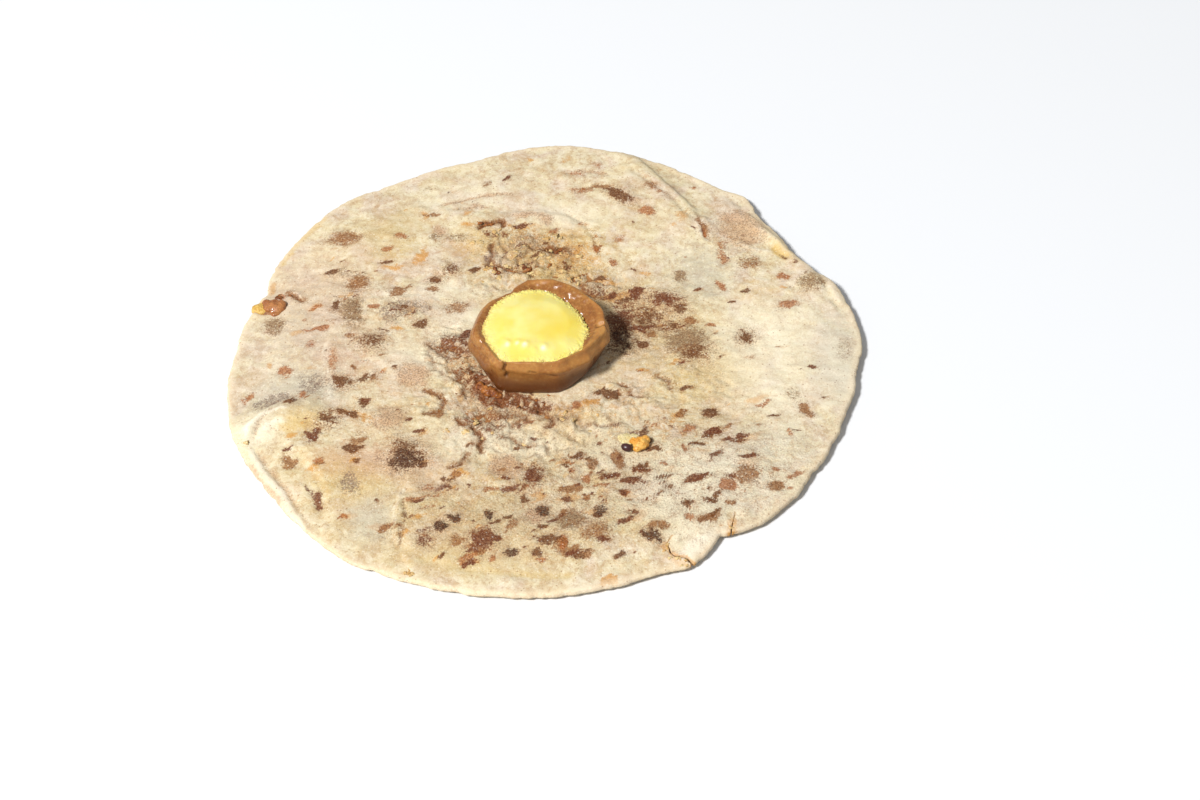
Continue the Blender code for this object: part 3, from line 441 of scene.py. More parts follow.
# Soft patches of the dough's own colour, by tone: x, y, width, height, turn, strength
PATCHES = {
    "baked": [
        (-18.0, -66.0, 84, 32, 0, 0.65), (-20.0, -79.0, 36, 10, 0, 0.8),
        (46.0, -18.0, 30, 34, 0, 0.5), (-50.0, 50.0, 30, 20, 30, 0.2),
        (-62.0, -48.0, 26, 20, -30, 0.5), (-18.0, -30.0, 50, 36, 0, 0.15),
        (-4.0, -2.0, 74, 62, 0, 0.35), (-46.0, -40.0, 30, 50, 0, 0.3),
        (24.0, 12.0, 50, 36, -20, 0.6), (-48.0, 50.0, 26, 16, 40, 0.6),
        (32.0, -66.0, 26, 12, 0, 0.6), (-82.0, -14.0, 12, 16, 0, 0.3),
        (26.0, 54.0, 50, 18, -14, 0.35),
    ],
    "cream": [
        (6.0, -32.0, 50, 14, 0, 0.3), (-17.0, 38.0, 9, 6, 0, 0.45), (40.8, -74.6, 17, 4.2, 40, 1.1),
    ],
    "floury": [
        (46.0, -52.0, 44, 26, 0, 0.85), (-2.0, -39.0, 12, 7, 0, 0.5), (12.0, -33.0, 10, 5, 0, 0.5),
        (38.0, -71.0, 14, 8, 36, 0.9), (34.0, -62.0, 26, 14, 10, 0.8),
        (-80.0, -34.0, 10, 12, 0, 0.9), (4.0, 56.0, 26, 12, 0, 0.7), (-26.0, 66.0, 36, 16, 10, 0.5),
        (62.0, -6.0, 34, 44, 0, 0.7), (18.0, -46.0, 30, 16, 0, 0.45), (80.0, 20.0, 14, 40, 10, 0.2),
        (-16.0, -36.0, 34, 18, 0, 0.6), (14.0, -40.0, 24, 14, 0, 0.3),
        (82.0, -14.0, 12, 24, 0, 0.5), (2.0, -64.0, 24, 14, 0, 0.5), (66.0, -36.0, 16, 16, 0, 0.4),
        (62.0, 62.0, 20, 14, -40, 0.5), (64.0, 12.0, 26, 22, 0, 0.3), (-40.0, 22.0, 34, 8, 10, 0.6),
        (-26.0, 10.0, 16, 20, 0, 0.7), (38.0, 50.0, 24, 20, -20, 0.3),
        (-38.0, -6.0, 22, 16, 0, 0.6),
    ],
    "brown": [
        (42.0, -12.0, 34, 36, 0, 0.18),
    ],
    "gold": [
        (-2.0, 40.0, 38, 24, 0, 0.27), (6.0, 38.0, 16, 10, 0, 0.4), (0.0, 47.0, 16, 7, 0, 0.15),
        (-12.0, 50.0, 12, 6, 10, 0.15), (6.0, -26.5, 18, 6, 0, 0.45),
        (41.9, -76.0, 4.6, 0.9, 47, 1.2), (35.0, -80.0, 5.0, 1.7, -34, 1.3),
        (49.4, -71.6, 1.5, 6.5, 0, 1.1), (45.0, -70.4, 5.0, 2.6, 20, 0.6),
        (31.6, -75.6, 2.6, 3.0, 0, 0.9), (-24.0, -4.0, 12, 16, 0, 0.45),
        (-19.0, -18.0, 14, 8, -40, 0.45), (-38.4, 37.4, 3.4, 7, -20, 0.95),
    ],
    "rosy": [
        (-9.0, 43.0, 26, 12, 10, 0.3), (-9.0, 44.0, 9, 6, 30, 0.45), (-5.0, 34.5, 7, 3.6, -10, 0.5),
    ],
    "mauve": [
        (-26.0, 41.0, 14, 10, 0, 0.6), (-58.0, -6.0, 26, 18, 0, 0.5),
        (-52.0, -46.0, 24, 14, 0, 0.8), (-14.0, -24.0, 12, 5, -14, 0.4),
        (-79.8, 6.6, 3.8, 2.4, 0, 1.1),
    ],
    "rosier": [
        (6.0, 26.0, 12, 6, -20, 0.7), (10.0, 42.0, 8, 6, 20, 0.6), (-12.0, 37.0, 8, 6, 0, 0.6),
        (3.0, 35.0, 9, 4, 10, 0.6), (-32.0, -50.0, 26, 14, 0, 0.8), (-68.0, 10.0, 30, 44, 0, 0.7),
        (58.0, 58.0, 20, 16, -40, 0.15), (-60.0, 34.0, 34, 30, 0, 0.4),
        (-72.0, 24.0, 20, 24, 0, 0.6), (-46.0, 4.0, 24, 20, 0, 0.25),
        (-46.0, -30.0, 22, 30, 0, 0.4), (0.0, -58.0, 70, 26, 0, 0.2),
        (-14.0, -72.0, 44, 20, 0, 0.4), (0.0, 72.0, 60, 24, 0, 0.25),
    ],
    "yolk": [
        (-46.0, 40.0, 20, 9, 30, 0.45), (-22.0, 44.0, 12, 12, 0, 0.4), (-4.0, 40.0, 44, 32, 0, 0.5),
        (8.0, 46.0, 20, 10, -20, 0.3), (60.0, 22.0, 16, 10, 0, 0.5), (70.0, 40.0, 12, 5, -50, 0.85),
        (-66.0, -28.0, 12, 14, 0, 0.8), (-52.0, -52.0, 26, 18, -40, 0.5),
        (24.0, -46.0, 26, 12, 0, 0.4), (16.0, -52.0, 14, 5, 0, 0.6), (-20.0, -50.0, 30, 16, 0, 0.3),
        (8.0, -38.0, 40, 22, 0, 0.35), (46.0, -12.0, 30, 16, 20, 0.5), (-70.0, -33.0, 8, 6, 0, 0.6),
        (3.0, -32.0, 26, 14, 0, 0.4), (3.0, 32.0, 20, 10, 0, 0.4),
    ],
    "cool": [
        (-74.0, -20.0, 22, 12, 30, 0.9), (-64.0, -20.0, 12, 14, 0, 0.8),
        (-46.0, -66.0, 12, 16, 0, 0.9), (82.0, -6.0, 14, 38, 0, 0.9),
        (60.0, -38.0, 40, 18, 10, 0.45), (44.0, 30.0, 20, 24, 0, 0.75),
        (-72.0, 6.0, 34, 64, 0, 0.45),
    ],
}
PATCH_SOFT = 0.9
# The scorched dough round a mark: tone, shift, share of its size, mm more, strength, softness
ASH_HALO = [("rosy", (0, 0), 1.25, 0.6, 0.3, 0.8)]
DARK_HALO = [
    ("rosy", (0.4, -0.3), 1.30, 1, 0.5, 0.8), ("rust", (0, 0), 1.08, 0.3, 0.3, 0.6),
    ("brown", (0, 0), 1.00, 0.2, 0.6, 0.6),
]
PLAIN_HALO = [("rosy", (0, 0), 1.3, 0.5, 0.4, 0.8)]
HALO_FULL = 5  # marks smaller than this have less of a halo
DARK_TONES = ("umber", "plum", "black")  # of marks that are small and sharp in a wide halo
DARK_SHARE = 0.84  # of the size given
MARK_SOFT, DARK_SOFT, DARK_SOFTER = 0.65, 0.45, 0.05  # softness, the last for each mm of size
LOOSE_MARKS = 900  # tries at small marks strewn over the top; most of them fall in these crowds
LOOSE_CHANCE = 0.05  # of a mark where there is no crowd
LOOSE_TONES = ["plum", "brown", "plum", "umber", "rust", "umber"]
LOOSE_HALOED = ("plum", "umber", "brown")
LOOSE_WIDTH = (0.55, 1.8)  # the least, and how much more at most
LOOSE_LONG = (1.3, 3.2)  # a small mark's length over its width
LOOSE_TURN = (14, 18)  # the usual turn in degrees, and how much it varies
LOOSE_STRENGTH = (0.7, 1.25)
LOOSE_SOFT = 0.5
LOOSE_HALO = (1.2, 0.6, 0.40, 0.6)  # times its size, mm more, share of its strength, softness
LOOSE_HALO_SHIFT = (0.3, -0.2)
LOOSE_GOLD = 0.35  # share of them with golden dough beside them
GOLD_AWAY = (2, 1.5)  # how far beside them, in x and in y
GOLD_LONGER, GOLD_WIDER, GOLD_MORE = 1.6, 1.3, 0.4  # times the mark's size, and mm more of width
GOLD_STRENGTH, GOLD_SOFT = 0.7, 0.7
# Middle, half width, half depth, how crowded
CROWDS = [
    (-8.0, -64.0, 34, 16, 1.0), (42.0, -50.0, 28, 18, 1.3), (16.0, -40.0, 26, 14, 0.6),
    (-50.0, -30.0, 18, 26, 0.3), (28.0, 8.0, 18, 18, 0.5), (-48.0, 18.0, 18, 14, 0.4),
    (-6.0, 40.0, 16, 12, 0.6), (58.0, 36.0, 14, 24, 0.12), (-14.0, -28.0, 16, 12, 0.15),
]
UNDER_MARKS = 150  # the unseen underside is toasted in the same way
UNDER_TONES = LOOSE_TONES + ["ash", "black"]
UNDER_SIZES = [2, 3, 4, 6, 9, 13]
UNDER_VARIES, UNDER_FLATTER, UNDER_STRENGTH = (0.8, 1.3), (0.5, 1.2), (0.6, 1)
BENDS = [(1.2, 3.4, 21), (0.65, 1.2, 23)]  # how far marks are bent out of shape, span, seed
STREWN_TO, UNDER_STREWN_TO = 85, 84  # how far from the middle marks are strewn


def tree_of(mesh):
    """A search tree of a mesh's faces."""
    return BVHTree.FromPolygons([v.co for v in mesh.vertices], [p.vertices for p in mesh.polygons])


def first_hit(tree, x, y, way=-1):
    """Where a straight look down at a place in mm meets a shape. A way of 1 looks up."""
    return tree.ray_cast(Vector((x * MM, y * MM, -way * LOOK_FROM)), Vector((0, 0, way)))[0]


def smooth(share):
    """0 below 0, 1 above 1, and an even S between, for many values."""
    share = np.clip(share, 0, 1)
    return share * share * (3 - 2 * share)


def hump(away, half_width):
    """1 at no distance, and falling off evenly to near 0 at twice the half width."""
    return np.exp(-((away / half_width) ** 2))


def rough(points, span, seed, octaves=1):
    """Soft noise of about that span at points in mm, from about -1 to 1."""
    shift = Vector((seed * 7.31, seed * 3.17, seed * 1.93))
    return np.array(
        [noise.fractal(Vector(p) / span + shift, 0.9, 2.1, octaves) for p in points]
    )


def turned(angles, start):
    """The turn from one angle to others, from minus half a turn to half a turn, in radians."""
    return (angles - start + math.pi) % math.tau - math.pi


def rim_reach():
    """The rim's reach, read from the CAD solid, with its raggedness and nicks: angles, reach."""
    points = np.array([v.co for v in solid.data.vertices]) / MM
    far, angle = np.hypot(points[:, 0], points[:, 1]), np.arctan2(points[:, 1], points[:, 0])
    spots = np.arange(RIM_SPOTS) * math.tau / RIM_SPOTS
    found = []
    for spot_angle in spots:
        near = np.abs(turned(angle, spot_angle)) < SPOT_HALF
        found.append(far[near].max() if near.any() else 0)
    found = np.array(found)
    whole = found > RIM_SHARE * np.median(found)
    fine = np.arange(4 * SKIN_CELLS) * math.tau / (4 * SKIN_CELLS)
    reach = np.interp(fine, spots[whole], found[whole], period=math.tau)
    for _ in range(RIM_SMOOTHING):
        reach = (np.roll(reach, 1) + 2 * reach + np.roll(reach, -1)) / 4
    rim = np.stack([np.cos(fine), np.sin(fine), 0 * fine], axis=1) * reach[:, None]
    for span, size in RIM_WANDER:
        reach = reach + size * rough(rim, span, span)
    for middle, half_width, out in RIM_NICKS:
        reach = reach + out * hump(turned(fine, math.radians(middle)), math.radians(half_width))
    return fine, reach


def to_line(x, y, line):
    """Distance in mm from a line of points, and its side: 1 on the right, -1 on the left."""
    best, side = np.full(x.shape, np.inf), np.ones(x.shape)
    for (ax, ay), (bx, by) in zip(line, line[1:]):
        dx, dy = bx - ax, by - ay
        along = np.clip(((x - ax) * dx + (y - ay) * dy) / (dx * dx + dy * dy), 0, 1)
        away = np.hypot(x - ax - along * dx, y - ay - along * dy)
        nearer = away < best
        side = np.where(nearer, np.where(dx * (y - ay) - dy * (x - ax) < 0, 1, -1), side)
        best = np.where(nearer, away, best)
    return best, side


def ends_faded(x, y, line):
    """Fades a line's effect out towards both of its ends."""
    (ax, ay), (bx, by) = line[0], line[-1]
    start, over = END_FADES
    first = smooth((np.hypot(x - ax, y - ay) - start) / over)
    last = smooth((np.hypot(x - bx, y - by) - start) / over)
    return np.minimum(first, last)


def spot(x, y, place, size, turn):
    """How far from the middle of an oval: 1 on its edge."""
    c, s = math.cos(math.radians(turn)), math.sin(math.radians(turn))
    dx, dy = x - place[0], y - place[1]
    return np.hypot((c * dx + s * dy) / (size[0] / 2), (c * dy - s * dx) / (size[1] / 2))


def round_cup(x, y):
    """Places as seen from the cup's middle: turn in radians, and distance in mm."""
    dx, dy = x - CUP_MIDDLE[0], y - CUP_MIDDLE[1]
    return np.arctan2(dy, dx), np.hypot(dx, dy)


def disc_grid(cells, out_to, crowding):
    """A square grid bent into a disc: the share of the reach and the angle of each point."""
    side = np.linspace(-1, 1, cells + 1)
    u, v = np.meshgrid(side, side, indexing="ij")
    wide = np.abs(u) >= np.abs(v)
    with np.errstate(divide="ignore", invalid="ignore"):
        turn = np.where(
            wide,
            math.pi / 4 * v / u + math.pi * (u < 0),
            math.pi / 2 - math.pi / 4 * u / v + math.pi * (v < 0),
        )
    share = np.maximum(np.abs(u), np.abs(v))
    return out_to * share * (1 - crowding * (1 - share)), np.nan_to_num(turn)


def placed(share, turn, short):
    """x and y in mm of points given by their share of the reach and their angle."""
    far = share * (np.interp(turn % math.tau, rim_angles, rim_far, period=math.tau) - short)
    return far * np.cos(turn), far * np.sin(turn)


def cad_heights(x, y, way):
    """The CAD solid's height at each point, looked at downwards (-1) or upwards (1)."""
    heights = np.full(x.shape, np.nan)
    for i in np.ndindex(x.shape):
        hit = first_hit(solid_tree, x[i], y[i], way)
        if hit:
            heights[i] = hit.z / MM
    return heights


def blur(field, times):
    """Evens out a grid of heights."""
    for _ in range(times):
        wide = np.pad(field, 1, mode="edge")
        field = (wide[:-2, 1:-1] + wide[2:, 1:-1] + 2 * wide[1:-1, 1:-1]) / 4
        wide = np.pad(field, 1, mode="edge")
        field = (wide[1:-1, :-2] + wide[1:-1, 2:] + 2 * wide[1:-1, 1:-1]) / 4
    return field


def filled(heights, x, y):
    """The heights with the toppings, cracks and torn rim bridged from what is round them."""
    gone = np.isnan(heights)
    for place, far in BRIDGED:
        gone |= np.hypot(x - place[0], y - place[1]) < far
    for line in OPEN_CRACKS:
        gone |= to_line(x, y, line)[0] < OPEN_BRIDGED
    whole = np.where(gone, np.nanmedian(heights), heights)
    for _ in range(BRIDGING):
        whole = np.where(gone, blur(whole, 1), heights)
    return whole


def broken_share(x, y):
    """How broken up the crust is."""
    share = np.zeros(x.shape)
    for bx, by, width, height, turn, much in BROKEN:
        inside = smooth(1.6 - 1.1 * spot(x, y, (bx, by), (width, height), turn))
        share = np.maximum(share, much * inside)
    return share


def crowd_share(x, y):
    """How crowded the small marks are at a place."""
    return sum(
        much * np.exp(-(((x - cx) / wide) ** 2 + ((y - cy) / deep) ** 2))
        for cx, cy, wide, deep, much in CROWDS
    )


def swirled(x, y):
    """The places as a list of points, and the same points pushed about unevenly."""
    flat = np.stack([x.ravel(), y.ravel(), np.zeros(x.size)], axis=1)
    sideways = rough(flat, SWIRL_SPAN, 1), rough(flat, SWIRL_SPAN, 2), 0 * flat[:, 0]
    return flat, flat + SWIRL * np.stack(sideways, axis=1)


def knots(x, y):
    """The small knots of dough that stand up where the syrup has soaked in: above 0 on a knot."""
    return rough(swirled(x, y)[1], *KNOTS).reshape(x.shape)


def crust(x, y):
    """The fine relief of the top in mm, and the painted shade in its cracks and hollows, from 0 to 1.
    """
    flat, bent = swirled(x, y)
    shape = x.shape
    near = [noise.voronoi(Vector(p) / PLATE_SPAN) for p in bent]
    edge = np.array([n[0][1] - n[0][0] for n in near]).reshape(shape) * PLATE_SPAN
    lift = np.array([noise.cell(n[1][0] * 9.7) for n in near]).reshape(shape)
    grit = rough(flat, *GRIT).reshape(shape)
    fine = rough(flat, *FINE).reshape(shape)
    wrinkles = rough(flat * WRINKLED_ALONG, *WRINKLES).reshape(shape)
    lumpy = rough(flat, *LUMPS).reshape(shape)
    seams = hump(rough(bent, *SEAMS).reshape(shape), SEAM_HALF)
    wander = WANDER * rough(flat, *WANDERING).reshape(shape)

    # Where the crust is broken it lies in plates, with wide gaps on its humps and seams between
    broken = broken_share(x, y)
    busy = np.clip(np.maximum(broken, crowd_share(x, y)), 0, 1)
    gaps = hump(edge, GAP_HALF) * broken * smooth(0.35 + 2.2 * lumpy)
    gaps = np.maximum(gaps, 0.8 * seams * broken * smooth(0.6 - 2.0 * lumpy))
    relief = (WRINKLES_HIGH[0] + WRINKLES_HIGH[1] * busy) * wrinkles
    relief = relief + (FINE_HIGH[0] + FINE_HIGH[1] * busy) * fine
    relief = relief + GRIT_HIGH * grit + LUMPS_HIGH * lumpy
    plates = PLATE_LIFT * (lift - 0.5) + BROKEN_FINE * fine + BROKEN_GRIT * grit
    relief += broken * plates - PLATE_DEPTH * gaps
    # Painted shade in the gaps between plates and in the low spots of the broken crust
    dark = 0.85 * gaps * smooth(0.5 + 2.0 * fine) + 0.25 * broken * smooth(-1.8 * fine - 0.35)

    # Cracks are ragged cuts between raised lips, darkened inside with painted shade
    for line, depth, half_width in CRACKS:
        away = to_line(x + wander, y + 0.6 * wander, line)[0] + 0.35 * np.abs(fine)
        cut = hump(away, CRACK_WIDER * half_width)
        relief += CRACK_LIP * hump(away, CRACK_LIP_HALF) * (1 - cut) - CRACK_DEEPER * depth * cut
        dark = np.maximum(dark, cut)

    # The syrup at the cup's foot has dried over knots of dough, with painted shade between them
    turn, out = round_cup(x, y)
    aside = np.abs(np.degrees(turn) % 360 - SYRUP_TOWARDS)
    syrupy = smooth(1.5 - aside / SYRUP_HALF) * hump(out - SYRUP_OUT, SYRUP_WIDE)
    knotty = knots(x, y)
    relief += syrupy * (SYRUP_HIGH + SYRUP_KNOTS * knotty + SYRUP_FINE * fine)
    dark = np.maximum(dark, 0.7 * syrupy * smooth(-2.2 * knotty))

    # Streaks are raised or sunk, and at a step one side of the line is the higher layer
    for line, half_width, raised, _, _ in STROKES:
        away = to_line(x + 0.4 * wander, y + 0.3 * wander, line)[0]
        relief += raised * hump(away, half_width) * ends_faded(x, y, line)
    for line, step in STEPS:
        away, side = to_line(x, y, line)
        ends = ends_faded(x, y, line)
        near_line = hump(away, STEP_RUNS_OUT) * ends
        high_side = smooth(0.5 + side * away / STEP_HALF) * near_line
        relief += step * high_side if step > 0 else -step * (near_line - high_side)
        # Painted shade along the step's edge
        dark = np.maximum(dark, 0.3 * step**2 * hump(away, 0.5) * ends)
    return relief, dark


def ring(cells):
    """Indices of a grid's border, anticlockwise from its corner at -45 degrees."""
    east = [(cells, k) for k in range(cells)]
    north = [(cells - k, cells) for k in range(cells)]
    west = [(0, cells - k) for k in range(cells)]
    south = [(k, 0) for k in range(cells)]
    return [i * (cells + 1) + j for i, j in east + north + west + south]


def ring_heights(x, y, heights):
    """Angles and heights round a grid's border, in order of angle."""
    border = ring(x.shape[0] - 1)
    angle = np.arctan2(y.ravel()[border], x.ravel()[border]) % math.tau
    order = np.argsort(angle)
    return angle[order], heights.ravel()[border][order]


def top_points():
    """The points of the top's grid, with the crust worked into them."""
    share, turn = disc_grid(SKIN_CELLS, 1.0, CROWDING)
    x, y = placed(share, turn, RIM_IN)
    plain = blur(filled(cad_heights(x * TOP_LOOK, y * TOP_LOOK, -1), x, y), SMOOTHING)
    from_cup = round_cup(x, y)[1]
    start, width = CUP_FOOT_COVERS
    bare = smooth((from_cup - start) / width)
    height, middle, half_width = CUP_SQUEEZES
    squeezed = height * hump(from_cup - middle, half_width)
    torn = smooth(1.5 - 1.25 * spot(x, y, *TORN_RIM))
    relief = crust(x, y)[0] * smooth((1 - share) / 0.03 + 0.25)
    return np.stack([x, y, plain + bare * (relief + squeezed) - TORN_DEPTH * torn], axis=-1)


def rim_rows(high, low):
    """Rows of points that round the rim off, from the top's border to the underside's height."""
    way = high[:, :2] / np.hypot(high[:, 0], high[:, 1])[:, None]
    middle = (high[:, 2] + low) / 2
    tall = np.maximum(high[:, 2] - low, RIM_THINNEST) / 2
    uneven = rough(high, 1.3, 11)
    outwards, least, more = RIM_UNEVEN
    rows = []
    for row in range(1, RIM_ROWS + 1):
        lean = math.pi / 2 - math.pi * row / (RIM_ROWS + 1)
        groove = RIM_GROOVE if row == GROOVE_ROW else 0
        out = RIM_IN * math.cos(lean) * (1 + outwards * uneven) - groove
        points = high.copy()
        points[:, :2] += way * out[:, None]
        points[:, 2] = middle + tall * math.sin(lean) * (least + more * uneven)
        rows.append(points)
    last = high.copy()
    last[:, 2] = np.maximum(middle - tall, 0)
    return rows + [last]


def grid_faces(cells, first, upwards):
    """The squares of a grid whose points start at an index."""
    i, j = np.meshgrid(np.arange(cells), np.arange(cells), indexing="ij")
    a = first + i * (cells + 1) + j
    loop = [a, a + cells + 1, a + cells + 2, a + 1]
    return np.stack(loop if upwards else loop[::-1], axis=-1).reshape(-1, 4)


def skin_mesh():
    """Points and faces of the bread's whole skin, in mm."""
    top = top_points().reshape(-1, 3)
    share, turn = disc_grid(UNDER_CELLS, UNDER_SHARE, 0)
    x, y = placed(share, turn, 0)
    seen = cad_heights(x * UNDER_LOOK, y * UNDER_LOOK, 1)
    under = np.maximum(blur(filled(seen, x, y), UNDER_SMOOTHING), 0.0)
    border = np.array(ring(SKIN_CELLS))
    high = top[border]
    angles = np.arctan2(high[:, 1], high[:, 0]) % math.tau
    low = np.interp(angles, *ring_heights(x, y, under), period=math.tau)
    bottom = np.stack([x, y, under], axis=-1).reshape(-1, 3)
    points = np.concatenate([top, *rim_rows(high, low), bottom])

    faces = [grid_faces(SKIN_CELLS, 0, True)]
    rows = [border]
    start, around = len(top), len(border)
    for _ in range(RIM_ROWS + 1):
        rows.append(start + np.arange(around))
        start += around
    for upper, lower in zip(rows, rows[1:]):
        faces.append(np.stack([upper, lower, np.roll(lower, -1), np.roll(upper, -1)], axis=-1))
    faces.append(grid_faces(UNDER_CELLS, start, False))
    coarse, fine = start + np.array(ring(UNDER_CELLS)), rows[-1]
    odd, even, onward = fine[1::2], fine[::2], np.roll(fine[::2], -1)
    faces.append(np.stack([even, coarse, odd], axis=-1))
    faces.append(np.stack([odd, coarse, np.roll(coarse, -1)], axis=-1))
    faces.append(np.stack([odd, np.roll(coarse, -1), onward], axis=-1))
    return points, [f for block in faces for f in block]


def settle(piece):
    """Makes the shape that the modifiers give the piece's own mesh."""
    evaluated = piece.evaluated_get(bpy.context.evaluated_depsgraph_get())
    mesh = bpy.data.meshes.new_from_object(evaluated)
    piece.modifiers.clear()
    piece.data = mesh


def crack_outline(line, width):
    """The outline of an open crack: as wide as given at the rim, and tapering to its end."""
    left, right = [], []
    for i, here in enumerate(map(Vector, line)):
        onward, back = line[min(i + 1, len(line) - 1)], line[max(i - 1, 0)]
        way = (Vector(onward) - Vector(back)).normalized()
        across = Vector((-way.y, way.x)) * width / 2 * (1.0 - 0.9 * i / (len(line) - 1))
        left.append(here + across * (1.0 + 0.3 * (i % 2)))
        right.append(here - across * (1.3 - 0.3 * (i % 2)))
    return left + right[::-1]


def open_cracks(piece):
    """Cuts the two cracks at the front right through the rim."""
    for line, width in zip(OPEN_CRACKS, OPEN_WIDTH):
        outline = crack_outline(line, width)
        count = len(outline)
        points = [(p.x * MM, p.y * MM, z) for z in (OPEN_FROM, OPEN_TO) for p in outline]
        sides = [(k, (k + 1) % count, count + (k + 1) % count, count + k) for k in range(count)]
        caps = [range(count)[::-1], range(count, 2 * count)]
        cutter = new_piece("cutter", points, [*caps, *sides], dough)
        bm = bmesh.new()
        bm.from_mesh(cutter.data)
        bmesh.ops.recalc_face_normals(bm, faces=bm.faces)
        bmesh.ops.triangulate(bm, faces=bm.faces)
        bm.to_mesh(cutter.data)
        bm.free()
        cut = piece.modifiers.new("crack", "BOOLEAN")
        cut.operation, cut.object = "DIFFERENCE", cutter
        settle(piece)
        bpy.data.objects.remove(cutter)
    piece.data.shade_smooth()


def linear(*tone):
    """A colour seen as these values out of 255, as the light values that a shader needs."""
    parts = (c / 255 for c in tone)
    return (*(c / 12.92 if c <= 0.04045 else ((c + 0.055) / 1.055) ** 2.4 for c in parts), 1)


def in_mm(tree):
    """The object's own coordinates in millimetres."""
    place = shade(tree, "TexCoord").outputs["Object"]
    return shade(tree, "VectorMath", {0: place, 1: (1000,) * 3}, operation="MULTIPLY").outputs[0]


def maths(tree, operation, a, b):
    """One sum on two values."""
    return shade(tree, "Math", {0: a, 1: b}, operation=operation).outputs[0]


def times(tree, a, b):
    """The product of two values."""
    return maths(tree, "MULTIPLY", a, b)


def ranged(tree, value, low, high, to_low=0.0, to_high=1.0):
    """A value stretched so that one range becomes another, and held at its ends."""
    limits = {"From Min": low, "From Max": high, "To Min": to_low, "To Max": to_high}
    return shade(tree, "MapRange", {"Value": value, **limits}).outputs[0]


def mixed(tree, share, a, b):
    """A share of the way from one colour to another."""
    return shade(tree, "Mix", {0: share, 6: a, 7: b}, data_type="RGBA").outputs[2]


def tinted(tree, colour, share, tint):
    """A colour with a share of a tint over it, given as it is seen."""
    return mixed(tree, share, colour, linear(*tint))


def noise_at(tree, place, per_mm, detail=2.0, roughness=0.5, distortion=0.0):
    """Soft noise of so many turns a millimetre."""
    sockets = {"Vector": place, "Scale": per_mm, "Detail": detail}
    sockets.update({"Roughness": roughness, "Distortion": distortion})
    return shade(tree, "TexNoise", sockets).outputs[0]


def amount(tree, name):
    """An amount kept on the mesh's points."""
    return shade(tree, "Attribute", attribute_name=name).outputs["Fac"]


def bumped(tree, shader, height, strength, distance):
    """Gives a shader a fine relief of that many metres."""
    sockets = {"Strength": strength, "Distance": distance, "Height": height}
    bump = shade(tree, "Bump", sockets)
    tree.links.new(bump.outputs[0], shader.inputs["Normal"])


GRAIN_LOOSE = 0.55  # times per mm of the larger clumps that the grains gather in
GRAIN_MIX = 0.45  # how much of the clumps
GRAIN_SPREAD = 3.2
GRAIN_FADES = 0.3  # amounts smaller than this have less grain, so that bare dough stays clean


def grain_group():
    """Turns a smooth amount into a mask that breaks up into grains at its edge."""
    tree = bpy.data.node_groups.new("grainy_edge", "ShaderNodeTree")
    inputs = (("Amount", 0.5), ("Grain", 0.5), ("Grains per mm", 2.0), ("Softness", 0.25))
    for name, value in inputs:
        socket = tree.interface.new_socket(name, in_out="INPUT", socket_type="NodeSocketFloat")
        socket.default_value = value
    tree.interface.new_socket("Mask", in_out="OUTPUT", socket_type="NodeSocketFloat")
    given = tree.nodes.new("NodeGroupInput").outputs
    place = in_mm(tree)
    fine = noise_at(tree, place, given["Grains per mm"])
    loose = noise_at(tree, place, GRAIN_LOOSE, 3.0)
    both = shade(tree, "Mix", {0: GRAIN_MIX, 2: fine, 3: loose}, data_type="FLOAT").outputs[0]
    spread = times(tree, maths(tree, "SUBTRACT", both, 0.5), times(tree, given["Grain"], GRAIN_SPREAD))
    spread = times(tree, spread, ranged(tree, given["Amount"], 0.0, GRAIN_FADES))
    limits = {
        "Value": maths(tree, "ADD", given["Amount"], spread),
        "From Min": maths(tree, "SUBTRACT", 0.5, given["Softness"]),
        "From Max": maths(tree, "ADD", 0.5, given["Softness"]),
    }
    mask = shade(tree, "MapRange", limits, interpolation_type="SMOOTHSTEP")
    tree.links.new(mask.outputs[0], tree.nodes.new("NodeGroupOutput").inputs["Mask"])
    return tree


def grainy(tree, even, grain, per_mm, softness):
    """The grainy edge, placed in a material with its own values."""
    sockets = {"Amount": even, "Grain": grain, "Grains per mm": per_mm, "Softness": softness}
    return shade(tree, "Group", sockets, node_tree=grainy_edge).outputs["Mask"]


grainy_edge = grain_group()

# Marks and patches are stirred from these tones: seen colour, grain, softness, how opaque
TONES = {
    "baked": ((208, 182, 124), 0.30, 0.45, 0.65),
    "rosier": ((212, 178, 150), 0.25, 0.50, 0.50),
    "mauve": ((208, 170, 142), 0.40, 0.40, 0.75),
    "yolk": ((214, 180, 104), 0.40, 0.40, 0.72),
    "gold": ((208, 146, 62), 0.60, 0.30, 0.80),
    "cool": ((192, 186, 168), 0.55, 0.45, 0.60),
    "floury": ((244, 234, 208), 0.35, 0.45, 0.60),
    "rosy": ((200, 162, 126), 0.40, 0.42, 0.70),
    "ash": ((144, 116, 82), 0.85, 0.30, 0.85),
    "slate": ((134, 122, 110), 1.50, 0.18, 0.60),
    "brown": ((148, 97, 50), 0.60, 0.26, 0.86),
    "rust": ((168, 94, 38), 0.60, 0.26, 0.78),
    "umber": ((104, 64, 34), 0.65, 0.25, 0.92),
    "syrup": ((116, 56, 10), 0.75, 0.26, 0.92),
    "plum": ((106, 54, 32), 0.65, 0.24, 0.92),
    "black": ((60, 38, 28), 0.70, 0.26, 0.92),
    "cream": ((248, 238, 214), 0.40, 0.40, 0.75),
}
TONE_GRAINS = 1.9  # per mm
# Tones that are peppered with darker and paler grains
MARKED = ["syrup", "rosy", "ash", "slate", "brown", "rust", "umber", "plum", "black"]

